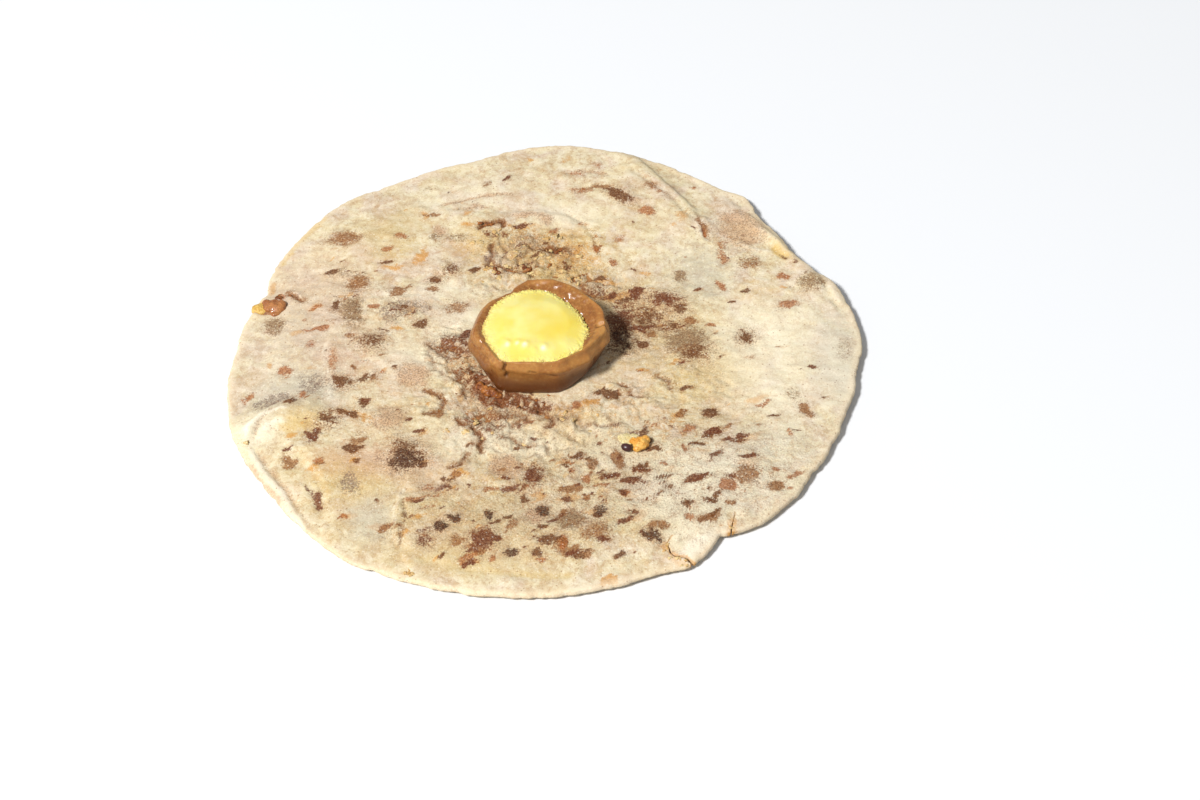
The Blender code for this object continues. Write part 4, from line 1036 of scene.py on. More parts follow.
# Unevenness of the dough's colour: times per mm, detail, roughness, distortion
DOUGH_NOISES = {
    "broad": (0.05, 3.0, 0.50, 0.0),
    "hue": (0.11, 3.0, 0.50, 0.6),
    "blotch": (0.22, 7.0, 0.70, 0.6),
    "vein": (0.34, 4.0, 0.60, 0.9),
    "stain": (0.40, 6.0, 0.68, 0.8),
    "small": (0.55, 6.0, 0.72, 0.4),
    "flecks": (1.1, 4.0, 0.70, 0.0),
    "grit": (1.5, 5.0, 0.70, 0.0),
    "pepper": (2.1, 3.0, 0.75, 0.0),
    "fine": (2.3, 2.0, 0.50, 0.0),
}
DOUGH_PLAIN = ((227, 214, 182), (218, 202, 166))
# Tints laid over the plain dough: noise, value where it starts and is full, how much, colour
DOUGH_TINTS = [
    ("hue", 0.50, 0.62, 0.80, (216, 196, 174)),
    ("hue", 0.49, 0.38, 0.75, (224, 209, 168)),
    ("blotch", 0.50, 0.60, 0.55, (194, 166, 126)),
    ("blotch", 0.48, 0.36, 0.50, (239, 228, 204)),
    ("small", 0.52, 0.62, 0.50, (186, 148, 110)),
    ("small", 0.46, 0.36, 0.35, (242, 231, 208)),
]
# The same, where the crust is busy: stains under the marks, and specks over them
BUSY_STAINS = [
    ("stain", 0.51, 0.61, 0.60, (210, 162, 96)),
    ("stain", 0.45, 0.37, 0.40, (210, 174, 138)),
]
BUSY_SPECKS = [
    ("flecks", 0.54, 0.66, 0.45, (168, 106, 58)),
    ("fine", 0.55, 0.70, 0.26, (138, 84, 50)),
]
BUSY_LEAST = 0.24  # the calmest crust is as busy as this
VEINS = (142, 92, 50)
# Grains in the marks: where on a mark they start and are full, then as above
MARK_GRAINS = [
    ((0.05, 0.6), (0.50, 0.42, 0.55), (92, 50, 36)),
    ((0.15, 0.8), (0.53, 0.62, 0.30), (220, 180, 136)),
]
# Painted shade in the crust's cracks and hollows, brown like the toasted dough, and how much of it
# shows
CREVICE_SHADE = (112, 64, 28)
CREVICE_SHADE_SHOWS = 0.82
CRACK_BROWN, CRACK_BROWN_HALF, CRACK_BROWN_MOST = 1.2, 1.5, 0.9  # the toasted dough beside one
STROKE_WIDER = 1.2
# Knots that stand out of the syrup are pale and bare: how much, and how fast on a knot
KNOT_PALE, KNOT_PALE_FAST, KNOT_BARE_FAST = 0.28, 2.4, 1.7
PALE_RIM = (236, 216, 182)
RIM_SHOWS = 0.55
PALE_FROM, PALE_FAR, PALE_VARIES = 0.4, 2.6, 1.2  # how far in from its edge the rim is pale
TOP_SLOPE, TOP_FADE = 0.35, 0.5  # how steeply down the rim the top's marks run, and fade out
DOUGH_INSIDE = (206, 150, 78)
WALL_FAR, WALL_FADE, WALL_STEEP = 1.4, 0.8, 1.6  # where the inside shows on an open crack's walls
PALE_FINE = (252, 245, 222)
DUST_PER_MM = 1.25
DUST_DOT = (0.34, 0.20)  # from where to where a dot of flour or bran grows full
# Dots of flour and of bran: which of them show, how much, colour
FLOUR = ((0.78, 0.90), 0.40, (250, 242, 222))
BRAN = ((0.88, 0.93), 0.55, (140, 88, 52))
SYRUP_EDGE = (0.6, 1.6, 0.4)  # grain, grains per mm and softness where the shine ends
DOUGH_ROUGHNESS = (0.82, 0.50)  # dry, and wet with syrup
DOUGH_COAT = 0.12
DOUGH_COAT_ROUGHNESS = 0.18
DOUGH_SPECULAR = 0.18


def dough_material():
    """Toasted dough: its own mottling, marks and patches, painted shade in cracks, rim, flour and bran.
    """
    made, tree, shader = new_material("toasted_dough")
    place = in_mm(tree)
    fields = {name: noise_at(tree, place, *values) for name, values in DOUGH_NOISES.items()}
    busy = ranged(tree, amount(tree, "busy"), 0.0, 0.9, BUSY_LEAST, 1.0)
    marked = amount(tree, "marked")

    def field(name, low, high, much=1.0):
        """Where a noise shows, between two of its values, and how much."""
        return ranged(tree, fields[name], low, high, 0, much)

    pale, deep = DOUGH_PLAIN
    colour = mixed(tree, field("broad", 0.35, 0.65), linear(*pale), linear(*deep))
    for name, low, high, much, tint in DOUGH_TINTS:
        colour = tinted(tree, colour, field(name, low, high, much), tint)
    for name, low, high, much, tint in BUSY_STAINS:
        colour = tinted(tree, colour, times(tree, busy, field(name, low, high, much)), tint)
    for tone, (seen, grain, softness, opaque) in TONES.items():
        mask = grainy(tree, amount(tree, tone), grain, TONE_GRAINS, softness)
        colour = tinted(tree, colour, times(tree, mask, opaque), seen)

    aside = shade(
        tree, "Math", {0: maths(tree, "SUBTRACT", fields["vein"], 0.5)}, operation="ABSOLUTE"
    )
    veins = times(tree, ranged(tree, aside.outputs[0], 0.030, 0.006), field("blotch", 0.44, 0.56, 0.60))
    colour = tinted(tree, colour, times(tree, veins, busy), VEINS)
    for shown, grains, tint in MARK_GRAINS:
        dots = times(tree, ranged(tree, marked, *shown), field("pepper", *grains))
        colour = tinted(tree, colour, dots, tint)
    # Painted shade darkens the cracks, gaps, hollows and step edges
    cracked = ranged(tree, amount(tree, "dark"), 0.15, 0.95, 0, CREVICE_SHADE_SHOWS)
    colour = tinted(tree, colour, cracked, CREVICE_SHADE)
    colour = tinted(tree, colour, times(tree, amount(tree, "rim"), RIM_SHOWS), PALE_RIM)
    colour = tinted(tree, colour, amount(tree, "inside"), DOUGH_INSIDE)
    for name, low, high, much, tint in BUSY_SPECKS:
        colour = tinted(tree, colour, times(tree, busy, field(name, low, high, much)), tint)
    bare = ranged(tree, marked, 0.2, 0.9, 1, 0.35)
    colour = tinted(tree, colour, times(tree, field("fine", 0.45, 0.30, 0.22), bare), PALE_FINE)

    cells = {"Vector": place, "Scale": DUST_PER_MM, "Randomness": 1.0}
    dust = shade(tree, "TexVoronoi", cells).outputs
    dots = ranged(tree, dust["Distance"], *DUST_DOT)
    pick = shade(tree, "SeparateColor", {0: dust["Color"]}).outputs
    for channel, (shown, much, tint) in enumerate((FLOUR, BRAN)):
        some = times(tree, dots, ranged(tree, pick[channel], *shown))
        colour = tinted(tree, colour, times(tree, some, much), tint)
    tree.links.new(colour, shader.inputs["Base Color"])

    wet = grainy(tree, amount(tree, "syrup"), *SYRUP_EDGE)
    tree.links.new(ranged(tree, wet, 0, 1, *DOUGH_ROUGHNESS), shader.inputs["Roughness"])
    tree.links.new(times(tree, wet, DOUGH_COAT), shader.inputs["Coat Weight"])
    shader.inputs["Coat Roughness"].default_value = DOUGH_COAT_ROUGHNESS
    shader.inputs["Specular IOR Level"].default_value = DOUGH_SPECULAR
    bumped(tree, shader, times(tree, fields["grit"], busy), 0.9, 0.0006)
    return made


def points_of(piece, what="co"):
    """The piece's points in mm, or its normals."""
    found = np.zeros(len(piece.data.vertices) * 3)
    piece.data.vertices.foreach_get(what, found)
    return found.reshape(-1, 3) / (MM if what == "co" else 1)


def keep(piece, name, values):
    """Keeps an amount on a piece's points."""
    kept = piece.data.attributes.new(name, "FLOAT", "POINT")
    kept.data.foreach_set("value", np.asarray(values, np.float32))


class Toasting:
    """How much of each tone lies at each point of one side of the bread."""

    def __init__(self, x, y):
        self.x, self.y = x, y
        self.amounts = {tone: np.zeros(len(x)) for tone in TONES}

    def add(self, tone, share):
        """Lays more of a tone over what is there."""
        left = (1 - np.minimum(self.amounts[tone], 1)) * (1 - np.minimum(share, 1))
        self.amounts[tone] = 1 - left

    def dab(self, tone, place, size, turn, strength, soft=0.75):
        """An oval of a tone, which fades at its edge."""
        away = spot(self.x, self.y, place, size, turn)
        self.add(tone, strength * smooth((1.0 + soft - away) / (2 * soft)))

    def scorch(self, tone, place, size, turn, strength):
        """A mark with the paler scorched dough round it; the small ones have sharp edges."""
        own, soft, halo = 1, MARK_SOFT, PLAIN_HALO
        if tone == "ash":
            halo = ASH_HALO
        elif tone in DARK_TONES:
            own, soft, halo = DARK_SHARE, DARK_SOFT + DARK_SOFTER * min(size), DARK_HALO
        much = strength * min(1.0, min(size) / HALO_FULL)
        for ring_tone, shift, share, more, ring_strength, ring_soft in halo:
            middle = (place[0] + shift[0], place[1] + shift[1])
            around = (share * size[0] + more, share * size[1] + more)
            self.dab(ring_tone, middle, around, turn, ring_strength * much, ring_soft)
        self.dab(tone, place, (own * size[0], own * size[1]), turn, strength, soft)


def strewn_place(draw, out_to):
    """A random place, as likely in one part of the disc as in another."""
    far, turn = out_to * math.sqrt(draw.random()), draw.random() * math.tau
    return far * math.cos(turn), far * math.sin(turn)


def strew(top, under):
    """The many small marks: crowded in places on the top, even on the underside."""
    draw = random.Random(11)
    for _ in range(LOOSE_MARKS):
        mx, my = strewn_place(draw, STREWN_TO)
        if draw.random() > LOOSE_CHANCE + crowd_share(mx, my):
            continue
        width = LOOSE_WIDTH[0] + LOOSE_WIDTH[1] * draw.random() ** 2
        long, turn = width * draw.uniform(*LOOSE_LONG), draw.gauss(*LOOSE_TURN)
        tone, strength = draw.choice(LOOSE_TONES), draw.uniform(*LOOSE_STRENGTH)
        top.dab(tone, (mx, my), (long, width), turn, strength, LOOSE_SOFT)
        if tone in LOOSE_HALOED:
            larger, more, share, soft = LOOSE_HALO
            place = (mx + LOOSE_HALO_SHIFT[0], my + LOOSE_HALO_SHIFT[1])
            size = (larger * long + more, larger * width + more)
            top.dab("brown", place, size, turn, share * strength, soft)
        if draw.random() < LOOSE_GOLD:
            place = (mx + draw.gauss(0, GOLD_AWAY[0]), my + draw.gauss(0, GOLD_AWAY[1]))
            size = (GOLD_LONGER * long, GOLD_WIDER * width + GOLD_MORE)
            top.dab("gold", place, size, turn, GOLD_STRENGTH, GOLD_SOFT)
    for _ in range(UNDER_MARKS):
        place = strewn_place(draw, UNDER_STREWN_TO)
        width = draw.choice(UNDER_SIZES) * draw.uniform(*UNDER_VARIES)
        size, turn = (width, width * draw.uniform(*UNDER_FLATTER)), draw.uniform(0, 180)
        tone, strength = draw.choice(UNDER_TONES), draw.uniform(*UNDER_STRENGTH)
        under.dab(tone, place, size, turn, strength)


def toast_top(top, x, y):
    """Puts the marks, patches, cracks and streaks on the top."""
    for tone, marks in MARKS.items():
        for mx, my, width, height, turn, strength in marks:
            top.scorch(tone, (mx, my), (width, height), turn, strength)
    for tone, patches in PATCHES.items():
        for mx, my, width, height, turn, strength in patches:
            top.dab(tone, (mx, my), (width, height), turn, strength, PATCH_SOFT)
    half_bent = 0.5 * (top.x + x), 0.5 * (top.y + y)
    for line, depth, _ in CRACKS:
        away = to_line(*half_bent, line)[0]
        brown = CRACK_BROWN * depth * hump(away, CRACK_BROWN_HALF)
        top.add("brown", np.minimum(brown, CRACK_BROWN_MOST))
    for line, half_width, _, tone, strength in STROKES:
        away = to_line(*half_bent, line)[0]
        across = hump(away, STROKE_WIDER * half_width)
        top.add(tone, strength * across * ends_faded(x, y, line))
    knotty, amounts = knots(x, y), top.amounts
    syrup = np.minimum(amounts["syrup"], 1)
    bare_knots = KNOT_PALE * syrup * smooth(KNOT_PALE_FAST * knotty)
    amounts["cream"] = np.maximum(amounts["cream"], bare_knots)
    amounts["syrup"] = syrup * smooth(1.0 - KNOT_BARE_FAST * knotty)


def bare_inside(x, y, normals):
    """Where the inside of the dough shows: on the walls of the open cracks and at the torn rim."""
    inside = np.zeros(len(x))
    sideways = smooth((1 - np.abs(normals[:, 2])) * WALL_STEEP)
    for line in OPEN_CRACKS:
        away = to_line(x, y, line)[0]
        inside = np.maximum(inside, smooth((WALL_FAR - away) / WALL_FADE) * sideways)
    return np.maximum(inside, smooth(1.35 - spot(x, y, *TORN_CRUMB)))


def paint(piece):
    """Keeps the amounts of each tone, and of all else that the dough shows, on the skin."""
    points, normals = points_of(piece), points_of(piece, "normal")
    x, y = points[:, 0], points[:, 1]
    flat = points * (1, 1, 0)
    bend = sum(
        far * np.stack([rough(flat, span, seed), rough(flat, span, seed + 1)])
        for far, span, seed in BENDS
    )
    top = Toasting(x + bend[0], y + bend[1])
    under = Toasting(top.x, top.y)
    toast_top(top, x, y)
    strew(top, under)
    for tone, patches in PATCHES.items():
        for mx, my, width, height, turn, strength in patches:
            under.dab(tone, (-mx, my), (width, height), turn, strength, PATCH_SOFT)

    upward = smooth((normals[:, 2] + TOP_SLOPE) / TOP_FADE)
    layers = {
        tone: upward * top.amounts[tone] + (1 - upward) * under.amounts[tone] for tone in TONES
    }
    marked = 1 - np.prod([1 - np.clip(layers[tone], 0, 1) for tone in MARKED], axis=0)
    reach = np.interp(np.arctan2(y, x) % math.tau, rim_angles, rim_far, period=math.tau)
    to_rim = reach - np.hypot(x, y)
    busy = np.maximum(broken_share(x, y), np.minimum(crowd_share(x, y), 1))
    layers.update({
        # dark: the painted shade of the crust's cracks and hollows, on the top only
        "dark": crust(x.reshape(-1, 1), y.reshape(-1, 1))[1].ravel() * upward,
        "rim": smooth(1 - (to_rim - PALE_FROM) / (PALE_FAR + PALE_VARIES * bend[0])),
        "inside": bare_inside(x, y, normals),
        "busy": np.maximum(busy, 1 - upward),
        "marked": marked,
    })
    for name, values in layers.items():
        keep(piece, name, values)


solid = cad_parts["poli"]
solid_tree = tree_of(solid.data)
rim_angles, rim_far = rim_reach()
dough = dough_material()
skin_points, skin_faces = skin_mesh()
skin = new_piece("flatbread", skin_points * MM, skin_faces, dough)
open_cracks(skin)
paint(skin)
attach(skin, "root")
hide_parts("poli")

# ---------------------------------------------------------------------------------------------
# The filling: lentils boiled with jaggery and ground to a stiff paste. The CAD solid of it runs
# through the bread; where the rim is torn at the left, its glossy knob and a yellow wedge show.

# Lumps that are pressed into one: middle, size, turn in degrees
KNOB = [
    ((-79.6, 16.7, 3.0), (6.9, 5.4, 3.2), 168), ((-81.7, 17.9, 3.5), (3.2, 2.6, 2.0), 150),
    ((-77.9, 17.3, 3.5), (3.2, 3.4, 2.2), 100), ((-78.8, 14.4, 2.7), (3.6, 2.4, 1.9), 20),
    ((-80.6, 15.6, 3.5), (2.6, 2.2, 1.8), 40),
]
WEDGE = [((-83.4, 16.6, 2.5), (5.6, 4.6, 2.0), 168), ((-84.6, 16.2, 2.2), (3.2, 3.4, 1.5), 160)]
KNOB_FINENESS = 0.22
KNOB_UNEVEN = [(2.2, 0.35), (0.9, 0.12)]  # span and height of the lumps on it
WEDGE_UNEVEN = [(1.6, 0.22), (0.8, 0.08)]
BLOB_EVENED = 3  # rounds of softening where the lumps meet
PASTE_RADIUS = (0.0008, 0.0005, 0.0003)  # how deep red, green and blue light goes in, in metres


def paste_material(name, pale, deep, wetness):
    """Ground lentils and jaggery: pale and deep tones in lumps, with a wet shine."""
    made, tree, shader = new_material(name)
    place = in_mm(tree)
    lumps = noise_at(tree, place, 0.42, 4.0, 0.6)
    grains = noise_at(tree, place, 2.4, 3.0)
    shadow, light = [c * 0.55 for c in deep], [min(c * 1.2, 250) for c in pale]
    colour = mixed(tree, ranged(tree, lumps, 0.36, 0.62), linear(*pale), linear(*deep))
    colour = tinted(tree, colour, ranged(tree, grains, 0.50, 0.72, 0, 0.5), shadow)
    colour = tinted(tree, colour, ranged(tree, grains, 0.42, 0.28, 0, 0.4), light)
    dull = ranged(tree, lumps, 0.3, 0.7, 0.55 - 0.3 * wetness, 0.7 - 0.35 * wetness)
    tree.links.new(colour, shader.inputs["Base Color"])
    tree.links.new(dull, shader.inputs["Roughness"])
    coat = ranged(tree, grains, 0.3, 0.7, wetness, 0.6 * wetness)
    tree.links.new(coat, shader.inputs["Coat Weight"])
    shader.inputs["Coat Roughness"].default_value = 0.12
    shader.inputs["Subsurface Weight"].default_value = 0.12
    shader.inputs["Subsurface Radius"].default_value = PASTE_RADIUS
    bumped(tree, shader, grains, 0.6, 0.0003)
    return made


def mesh_piece(name, bm, material):
    """A piece from a finished bmesh, which is freed."""
    mesh = bpy.data.meshes.new(name)
    bm.to_mesh(mesh)
    bm.free()
    return link_piece(name, mesh, material)


def knead(piece, fineness, rounds):
    """Gives a piece one even fine mesh, and softens it."""
    step = piece.modifiers.new("fine", "REMESH")
    step.mode, step.voxel_size = "VOXEL", fineness * MM
    step = piece.modifiers.new("soft", "SMOOTH")
    step.factor, step.iterations = 0.5, rounds
    settle(piece)
    piece.data.shade_smooth()


def move_points(piece, points):
    """Puts the piece's points at these places in mm."""
    piece.data.vertices.foreach_set("co", (points * MM).ravel())
    piece.data.update()


def swell(piece, by):
    """Moves each point along its normal by what the function gives for the points, in mm."""
    points = points_of(piece)
    move_points(piece, points + points_of(piece, "normal") * by(points)[:, None])


def blobs(name, parts, fineness, uneven, material):
    """Small lumps pressed into one: (place, size, turn) each, in mm."""
    bm = bmesh.new()
    for place, spans, turn in parts:
        c, s = math.cos(math.radians(turn)), math.sin(math.radians(turn))
        for vert in bmesh.ops.create_icosphere(bm, subdivisions=3, radius=0.5)["verts"]:
            x, y, z = Vector([a * b for a, b in zip(vert.co, spans)])
            vert.co = Vector((c * x - s * y, s * x + c * y, z)) * MM + Vector(place) * MM
    piece = mesh_piece(name, bm, material)
    knead(piece, fineness, BLOB_EVENED)
    for span, size in uneven:
        swell(piece, lambda points, span=span, size=size: size * rough(points, span, span))
    return piece


filling = paste_material("lentil_filling", (192, 130, 74), (152, 90, 44), 0.45)
inner_filling = paste_material("filling_inside", (178, 124, 70), (132, 84, 44), 0.1)
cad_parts["puran_filling"].data.materials.clear()
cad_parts["puran_filling"].data.materials.append(inner_filling)

knob = blobs("filling_knob", KNOB, KNOB_FINENESS, KNOB_UNEVEN, filling)
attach(knob, "root")
golden = paste_material("golden_filling", (226, 194, 110), (208, 162, 74), 0.25)
wedge = blobs("filling_wedge", WEDGE, KNOB_FINENESS, WEDGE_UNEVEN, golden)
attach(wedge, "root")

# ---------------------------------------------------------------------------------------------
# Crumbs of the filling that broke through the crust round the cup: ochre ones behind it, and
# dark ones soaked in melted jaggery at its foot. Each lies half sunk in the bread.

# Heaps of crumbs: middle, spread, how many, smallest and largest size
OCHRE_CRUMBS = [
    ((-5.0, 39.5), (13, 9), 20, 0.8, 2.2), ((-16.5, 47.0), (6, 4), 6, 0.8, 1.9),
    ((8.0, 31.0), (8, 6), 6, 1.0, 2.4), ((-16.0, 32.0), (5, 4), 6, 1.0, 2.4),
    ((-20.0, -33.0), (7, 6), 6, 1.0, 2.2), ((4.0, -31.0), (18, 7), 8, 0.9, 2.0),
    ((34.6, -79.6), (3.4, 1.2), 14, 0.4, 1.2), ((37.8, -81.8), (2.2, 1.2), 6, 0.4, 1.1),
    ((48.9, -71.6), (0.5, 5.6), 16, 0.4, 1.0), ((31.9, -75.8), (1.2, 1.4), 5, 0.4, 1.0),
    ((-35.2, -83.6), (1.4, 0.8), 3, 1.0, 1.8), ((-82.0, -38.6), (0.6, 1.0), 2, 0.7, 1.2),
]
SYRUP_CRUMBS = [
    ((-78.4, 21.4), (1.6, 1.2), 5, 0.7, 1.5), ((-76.6, 18.6), (0.8, 1.8), 4, 0.6, 1.2),
    ((-25.0, -2.5), (5, 6), 7, 0.4, 1.2), ((-23.5, -12.0), (3, 6), 9, 0.4, 1.2),
    ((-5.0, -23.6), (9, 2.4), 8, 0.4, 1.2), ((-10.0, 33.0), (8, 2.4), 8, 0.8, 2.4),
    ((3.5, 40.2), (4, 1.6), 4, 0.8, 2.0), ((-18.6, 52.0), (5, 1.4), 4, 0.7, 1.8),
]
CRUMBS_FROM_CUP = 16.5  # none lies nearer than this to the cup's middle
CRUMB_TALL = (0.25, 0.42)  # share of its width
CRUMB_SUNK = -0.35  # most that a crumb's middle lies under the skin, as a share of its height
CRUMB_UNEVEN = [(2.4, 1.1), (7.0, 0.9)]  # times per width, and how much
# The dark mass of soaked filling at the cup's foot, as lumps like the knob's
LUMP = [
    ((-16.6, -19.0, 4.3), (5.4, 3.4, 2.6), -24), ((-14.0, -20.6, 4.1), (3.8, 2.4, 2.0), -16),
    ((-18.9, -17.0, 4.1), (3.0, 2.6, 1.9), -50),
]
LUMP_FINENESS = 0.18
LUMP_UNEVEN = [(1.5, 0.45), (0.7, 0.26)]


def crumbs(name, heaps, seed, material):
    """Many small uneven crumbs and flakes in one mesh."""
    draw = random.Random(seed)
    bm = bmesh.new()
    for (mx, my), (wide, deep), count, small, large in heaps:
        for _ in range(count):
            x, y = draw.gauss(mx, wide / 2), draw.gauss(my, deep / 2)
            hit = first_hit(skin_tree, x, y)
            if round_cup(x, y)[1] < CRUMBS_FROM_CUP or not hit:
                continue
            spans = [draw.uniform(small, large) for _ in range(2)]
            tall = min(spans) * draw.uniform(*CRUMB_TALL)
            turn = draw.uniform(0, math.tau)
            z = hit.z / MM + tall * draw.uniform(CRUMB_SUNK, 0.0)
            shift = Vector([draw.uniform(-50, 50) for _ in range(3)])
            c, s = math.cos(turn), math.sin(turn)
            for vert in bmesh.ops.create_icosphere(bm, subdivisions=3, radius=0.5)["verts"]:
                knobs = 1
                for often, much in CRUMB_UNEVEN:
                    knobs = knobs + much * noise.noise(vert.co * often + shift)
                px, py = vert.co.x * spans[0] * knobs, vert.co.y * spans[1] * knobs
                up = vert.co.z * tall * knobs
                vert.co = MM * Vector((x + px * c - py * s, y + px * s + py * c, z + up))
    piece = mesh_piece(name, bm, material)
    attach(piece, "root")


skin_tree = tree_of(skin.data)
ochre = paste_material("ochre_crumb", (232, 206, 150), (204, 160, 96), 0.1)
soaked = paste_material("soaked_crumb", (176, 108, 42), (118, 58, 16), 0.3)
crumbs("ochre_crumbs", OCHRE_CRUMBS, 5, ochre)
crumbs("soaked_crumbs", SYRUP_CRUMBS, 6, soaked)
mass = blobs("soaked_lump", LUMP, LUMP_FINENESS, LUMP_UNEVEN, soaked)
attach(mass, "root")

# ---------------------------------------------------------------------------------------------
# The cup: jaggery worked into a smooth brown dough and pressed by hand into a low cup with flat
# facets. Butter fat has wetted its lip and the inside of its wall.

CUP_FINENESS = 0.34
CUP_EVENED = 16
CUP_LUMPS = [(7.0, 0.45), (3.0, 0.13), (1.1, 0.03)]  # span and height
CUP_OUTSIDE = (15.0, 1.5)  # from the cup's middle: where its outside starts, and how fast
CUP_INSIDE = (11, 2)  # the height that its inner wall starts at, and how fast
CUP_SPREAD = 20.0 / 57.3  # millimetres of wall for each degree round the cup
CUP_BULGE = (0.9, 265, 45)  # of the foot: how far, towards which side in degrees, half width
CUP_BULGE_UNDER = (10.0, 5.0)  # the height that it ends at, and how fast
INNER_UNEVEN = (0.46, 0.05)  # of the inner wall: its lumps, and its upright drips
# Strokes worked into the wall: (degrees round the cup, height), half width, how far in, how much
# painted shade
CUP_STROKES = [
    ([(240.0, 17.4), (239.5, 15.6), (240.5, 14.2), (239.6, 12.8), (242.2, 11.4),
      (241.2, 10.0)], 0.42, 1.0, 1.0),
    ([(148.0, 13.8), (166.0, 12.8), (186.0, 12.0), (204.0, 11.6), (222.0, 12.0)], 0.75, 0.8, 0.15),
    ([(150.0, 11.0), (166.0, 10.4), (186.0, 9.7), (204.0, 9.2), (220.0, 9.0)], 1.4, -1.0, 0.0),
    ([(356.0, 17.8), (357.0, 16.4), (353.0, 15.4), (355.0, 13.8)], 0.45, 0.7, 0.9),
    ([(123.0, 16.6), (124.0, 14.8)], 1.6, 0.9, 0.0),
    ([(226.0, 13.4), (256.0, 12.9), (292.0, 12.7), (318.0, 13.0)], 1.1, -0.45, 0.0),
    ([(262.0, 12.9), (268.0, 12.4)], 0.4, 0.4, 0.5),
    ([(281.0, 11.0), (286.0, 10.6)], 0.4, 0.4, 0.4),
    ([(300.0, 15.2), (318.0, 14.4), (338.0, 14.6)], 1.3, 0.4, 0.0),
    ([(340.0, 12.6), (352.0, 12.0), (366.0, 12.6)], 1.1, -0.5, 0.0),
    ([(205.0, 15.4), (208.0, 13.4)], 0.5, 0.5, 0.4), ([(328.0, 11.0), (333.0, 8.4)], 0.6, 0.4, 0.3),
]
JAGGERY_PALE, JAGGERY_DEEP = (182, 128, 64), (162, 106, 50)
JAGGERY_DARK_FLECKS, JAGGERY_PALE_FLECKS = (130, 78, 36), (208, 164, 96)
# The wet tone, the lower wall's painted shade with soaking, and the cracks' painted shade
JAGGERY_WET, JAGGERY_SOAK_AND_SHADE, JAGGERY_CRACK_SHADE = (128, 74, 26), (84, 40, 10), (70, 36, 16)
JAGGERY_ROUGHNESS = (0.42, 0.18)  # dry and wet
JAGGERY_COAT = (0.10, 0.7)
JAGGERY_RADIUS = (0.0022, 0.0009, 0.0004)


def round_wall(points):
    """Each point's place round the cup, in degrees from behind it, and its reach from the middle."""
    turn, reach = round_cup(points[:, 0], points[:, 1])
    return (np.degrees(turn) - 90) % 360 + 90, reach


def stroke_share(points, line, half_width):
    """1 in the middle of a stroke on the wall's outside and lip, 0 away from it."""
    wall = round_wall(points)[0] * CUP_SPREAD
    path = [(turn * CUP_SPREAD, height) for turn, height in line]
    return hump(to_line(wall, points[:, 2], path)[0], half_width)


def pressed(points):
    """How far hands have pressed the cup's dough out or in."""
    turn, reach = round_wall(points)
    outside = smooth((reach - CUP_OUTSIDE[0]) / CUP_OUTSIDE[1])
    by = sum(size * rough(points, span, span) for span, size in CUP_LUMPS)
    bulge, towards, half = CUP_BULGE
    top, fade = CUP_BULGE_UNDER
    front = smooth(1.5 - np.abs(turn - towards) / half)
    by = by + bulge * outside * front * smooth((top - points[:, 2]) / fade)
    inner_wall = (1 - outside) * smooth((points[:, 2] - CUP_INSIDE[0]) / CUP_INSIDE[1])
    lumps, drips = rough(points, 2.8, 14, 2), rough(points * (1, 1, 0.4), 0.9, 15)
    by = by + inner_wall * (INNER_UNEVEN[0] * lumps + INNER_UNEVEN[1] * drips)
    for line, half_width, depth, _ in CUP_STROKES:
        by = by - depth * outside * stroke_share(points, line, half_width)
    return by


def jaggery_material():
    """Jaggery dough: caramel brown with flecks, wetted by fat, with painted shade and soaking at its
    foot.
    """
    made, tree, shader = new_material("jaggery_dough")
    place = in_mm(tree)
    broad = ranged(tree, noise_at(tree, place, 0.16, 4.0), 0.38, 0.62)
    flecks = noise_at(tree, place, 1.1, 4.0)
    dark = ranged(tree, flecks, 0.52, 0.70, 0, 0.32)
    light = ranged(tree, flecks, 0.44, 0.30, 0, 0.40)
    wet = grainy(tree, amount(tree, "wet"), 0.4, 1.2, 0.4)
    colour = mixed(tree, broad, linear(*JAGGERY_PALE), linear(*JAGGERY_DEEP))
    colour = tinted(tree, colour, dark, JAGGERY_DARK_FLECKS)
    colour = tinted(tree, colour, light, JAGGERY_PALE_FLECKS)
    colour = tinted(tree, colour, times(tree, wet, 0.75), JAGGERY_WET)
    # Painted shade growing towards the bottom of the lower wall, with the soaking at its foot
    colour = tinted(tree, colour, times(tree, amount(tree, "foot"), 0.92), JAGGERY_SOAK_AND_SHADE)
    # Painted shade in the cracks and creases
    colour = tinted(tree, colour, amount(tree, "dark"), JAGGERY_CRACK_SHADE)
    tree.links.new(colour, shader.inputs["Base Color"])
    tree.links.new(ranged(tree, wet, 0, 1, *JAGGERY_ROUGHNESS), shader.inputs["Roughness"])
    tree.links.new(ranged(tree, wet, 0, 1, *JAGGERY_COAT), shader.inputs["Coat Weight"])
    shader.inputs["Coat Roughness"].default_value = 0.16
    shader.inputs["Subsurface Weight"].default_value = 0.15
    shader.inputs["Subsurface Radius"].default_value = JAGGERY_RADIUS
    bumped(tree, shader, flecks, 0.45, 0.0002)
    return made


def copy_of(node, name, material):
    """A new piece from a CAD node's mesh."""
    return link_piece(name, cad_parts[node].data.copy(), material)


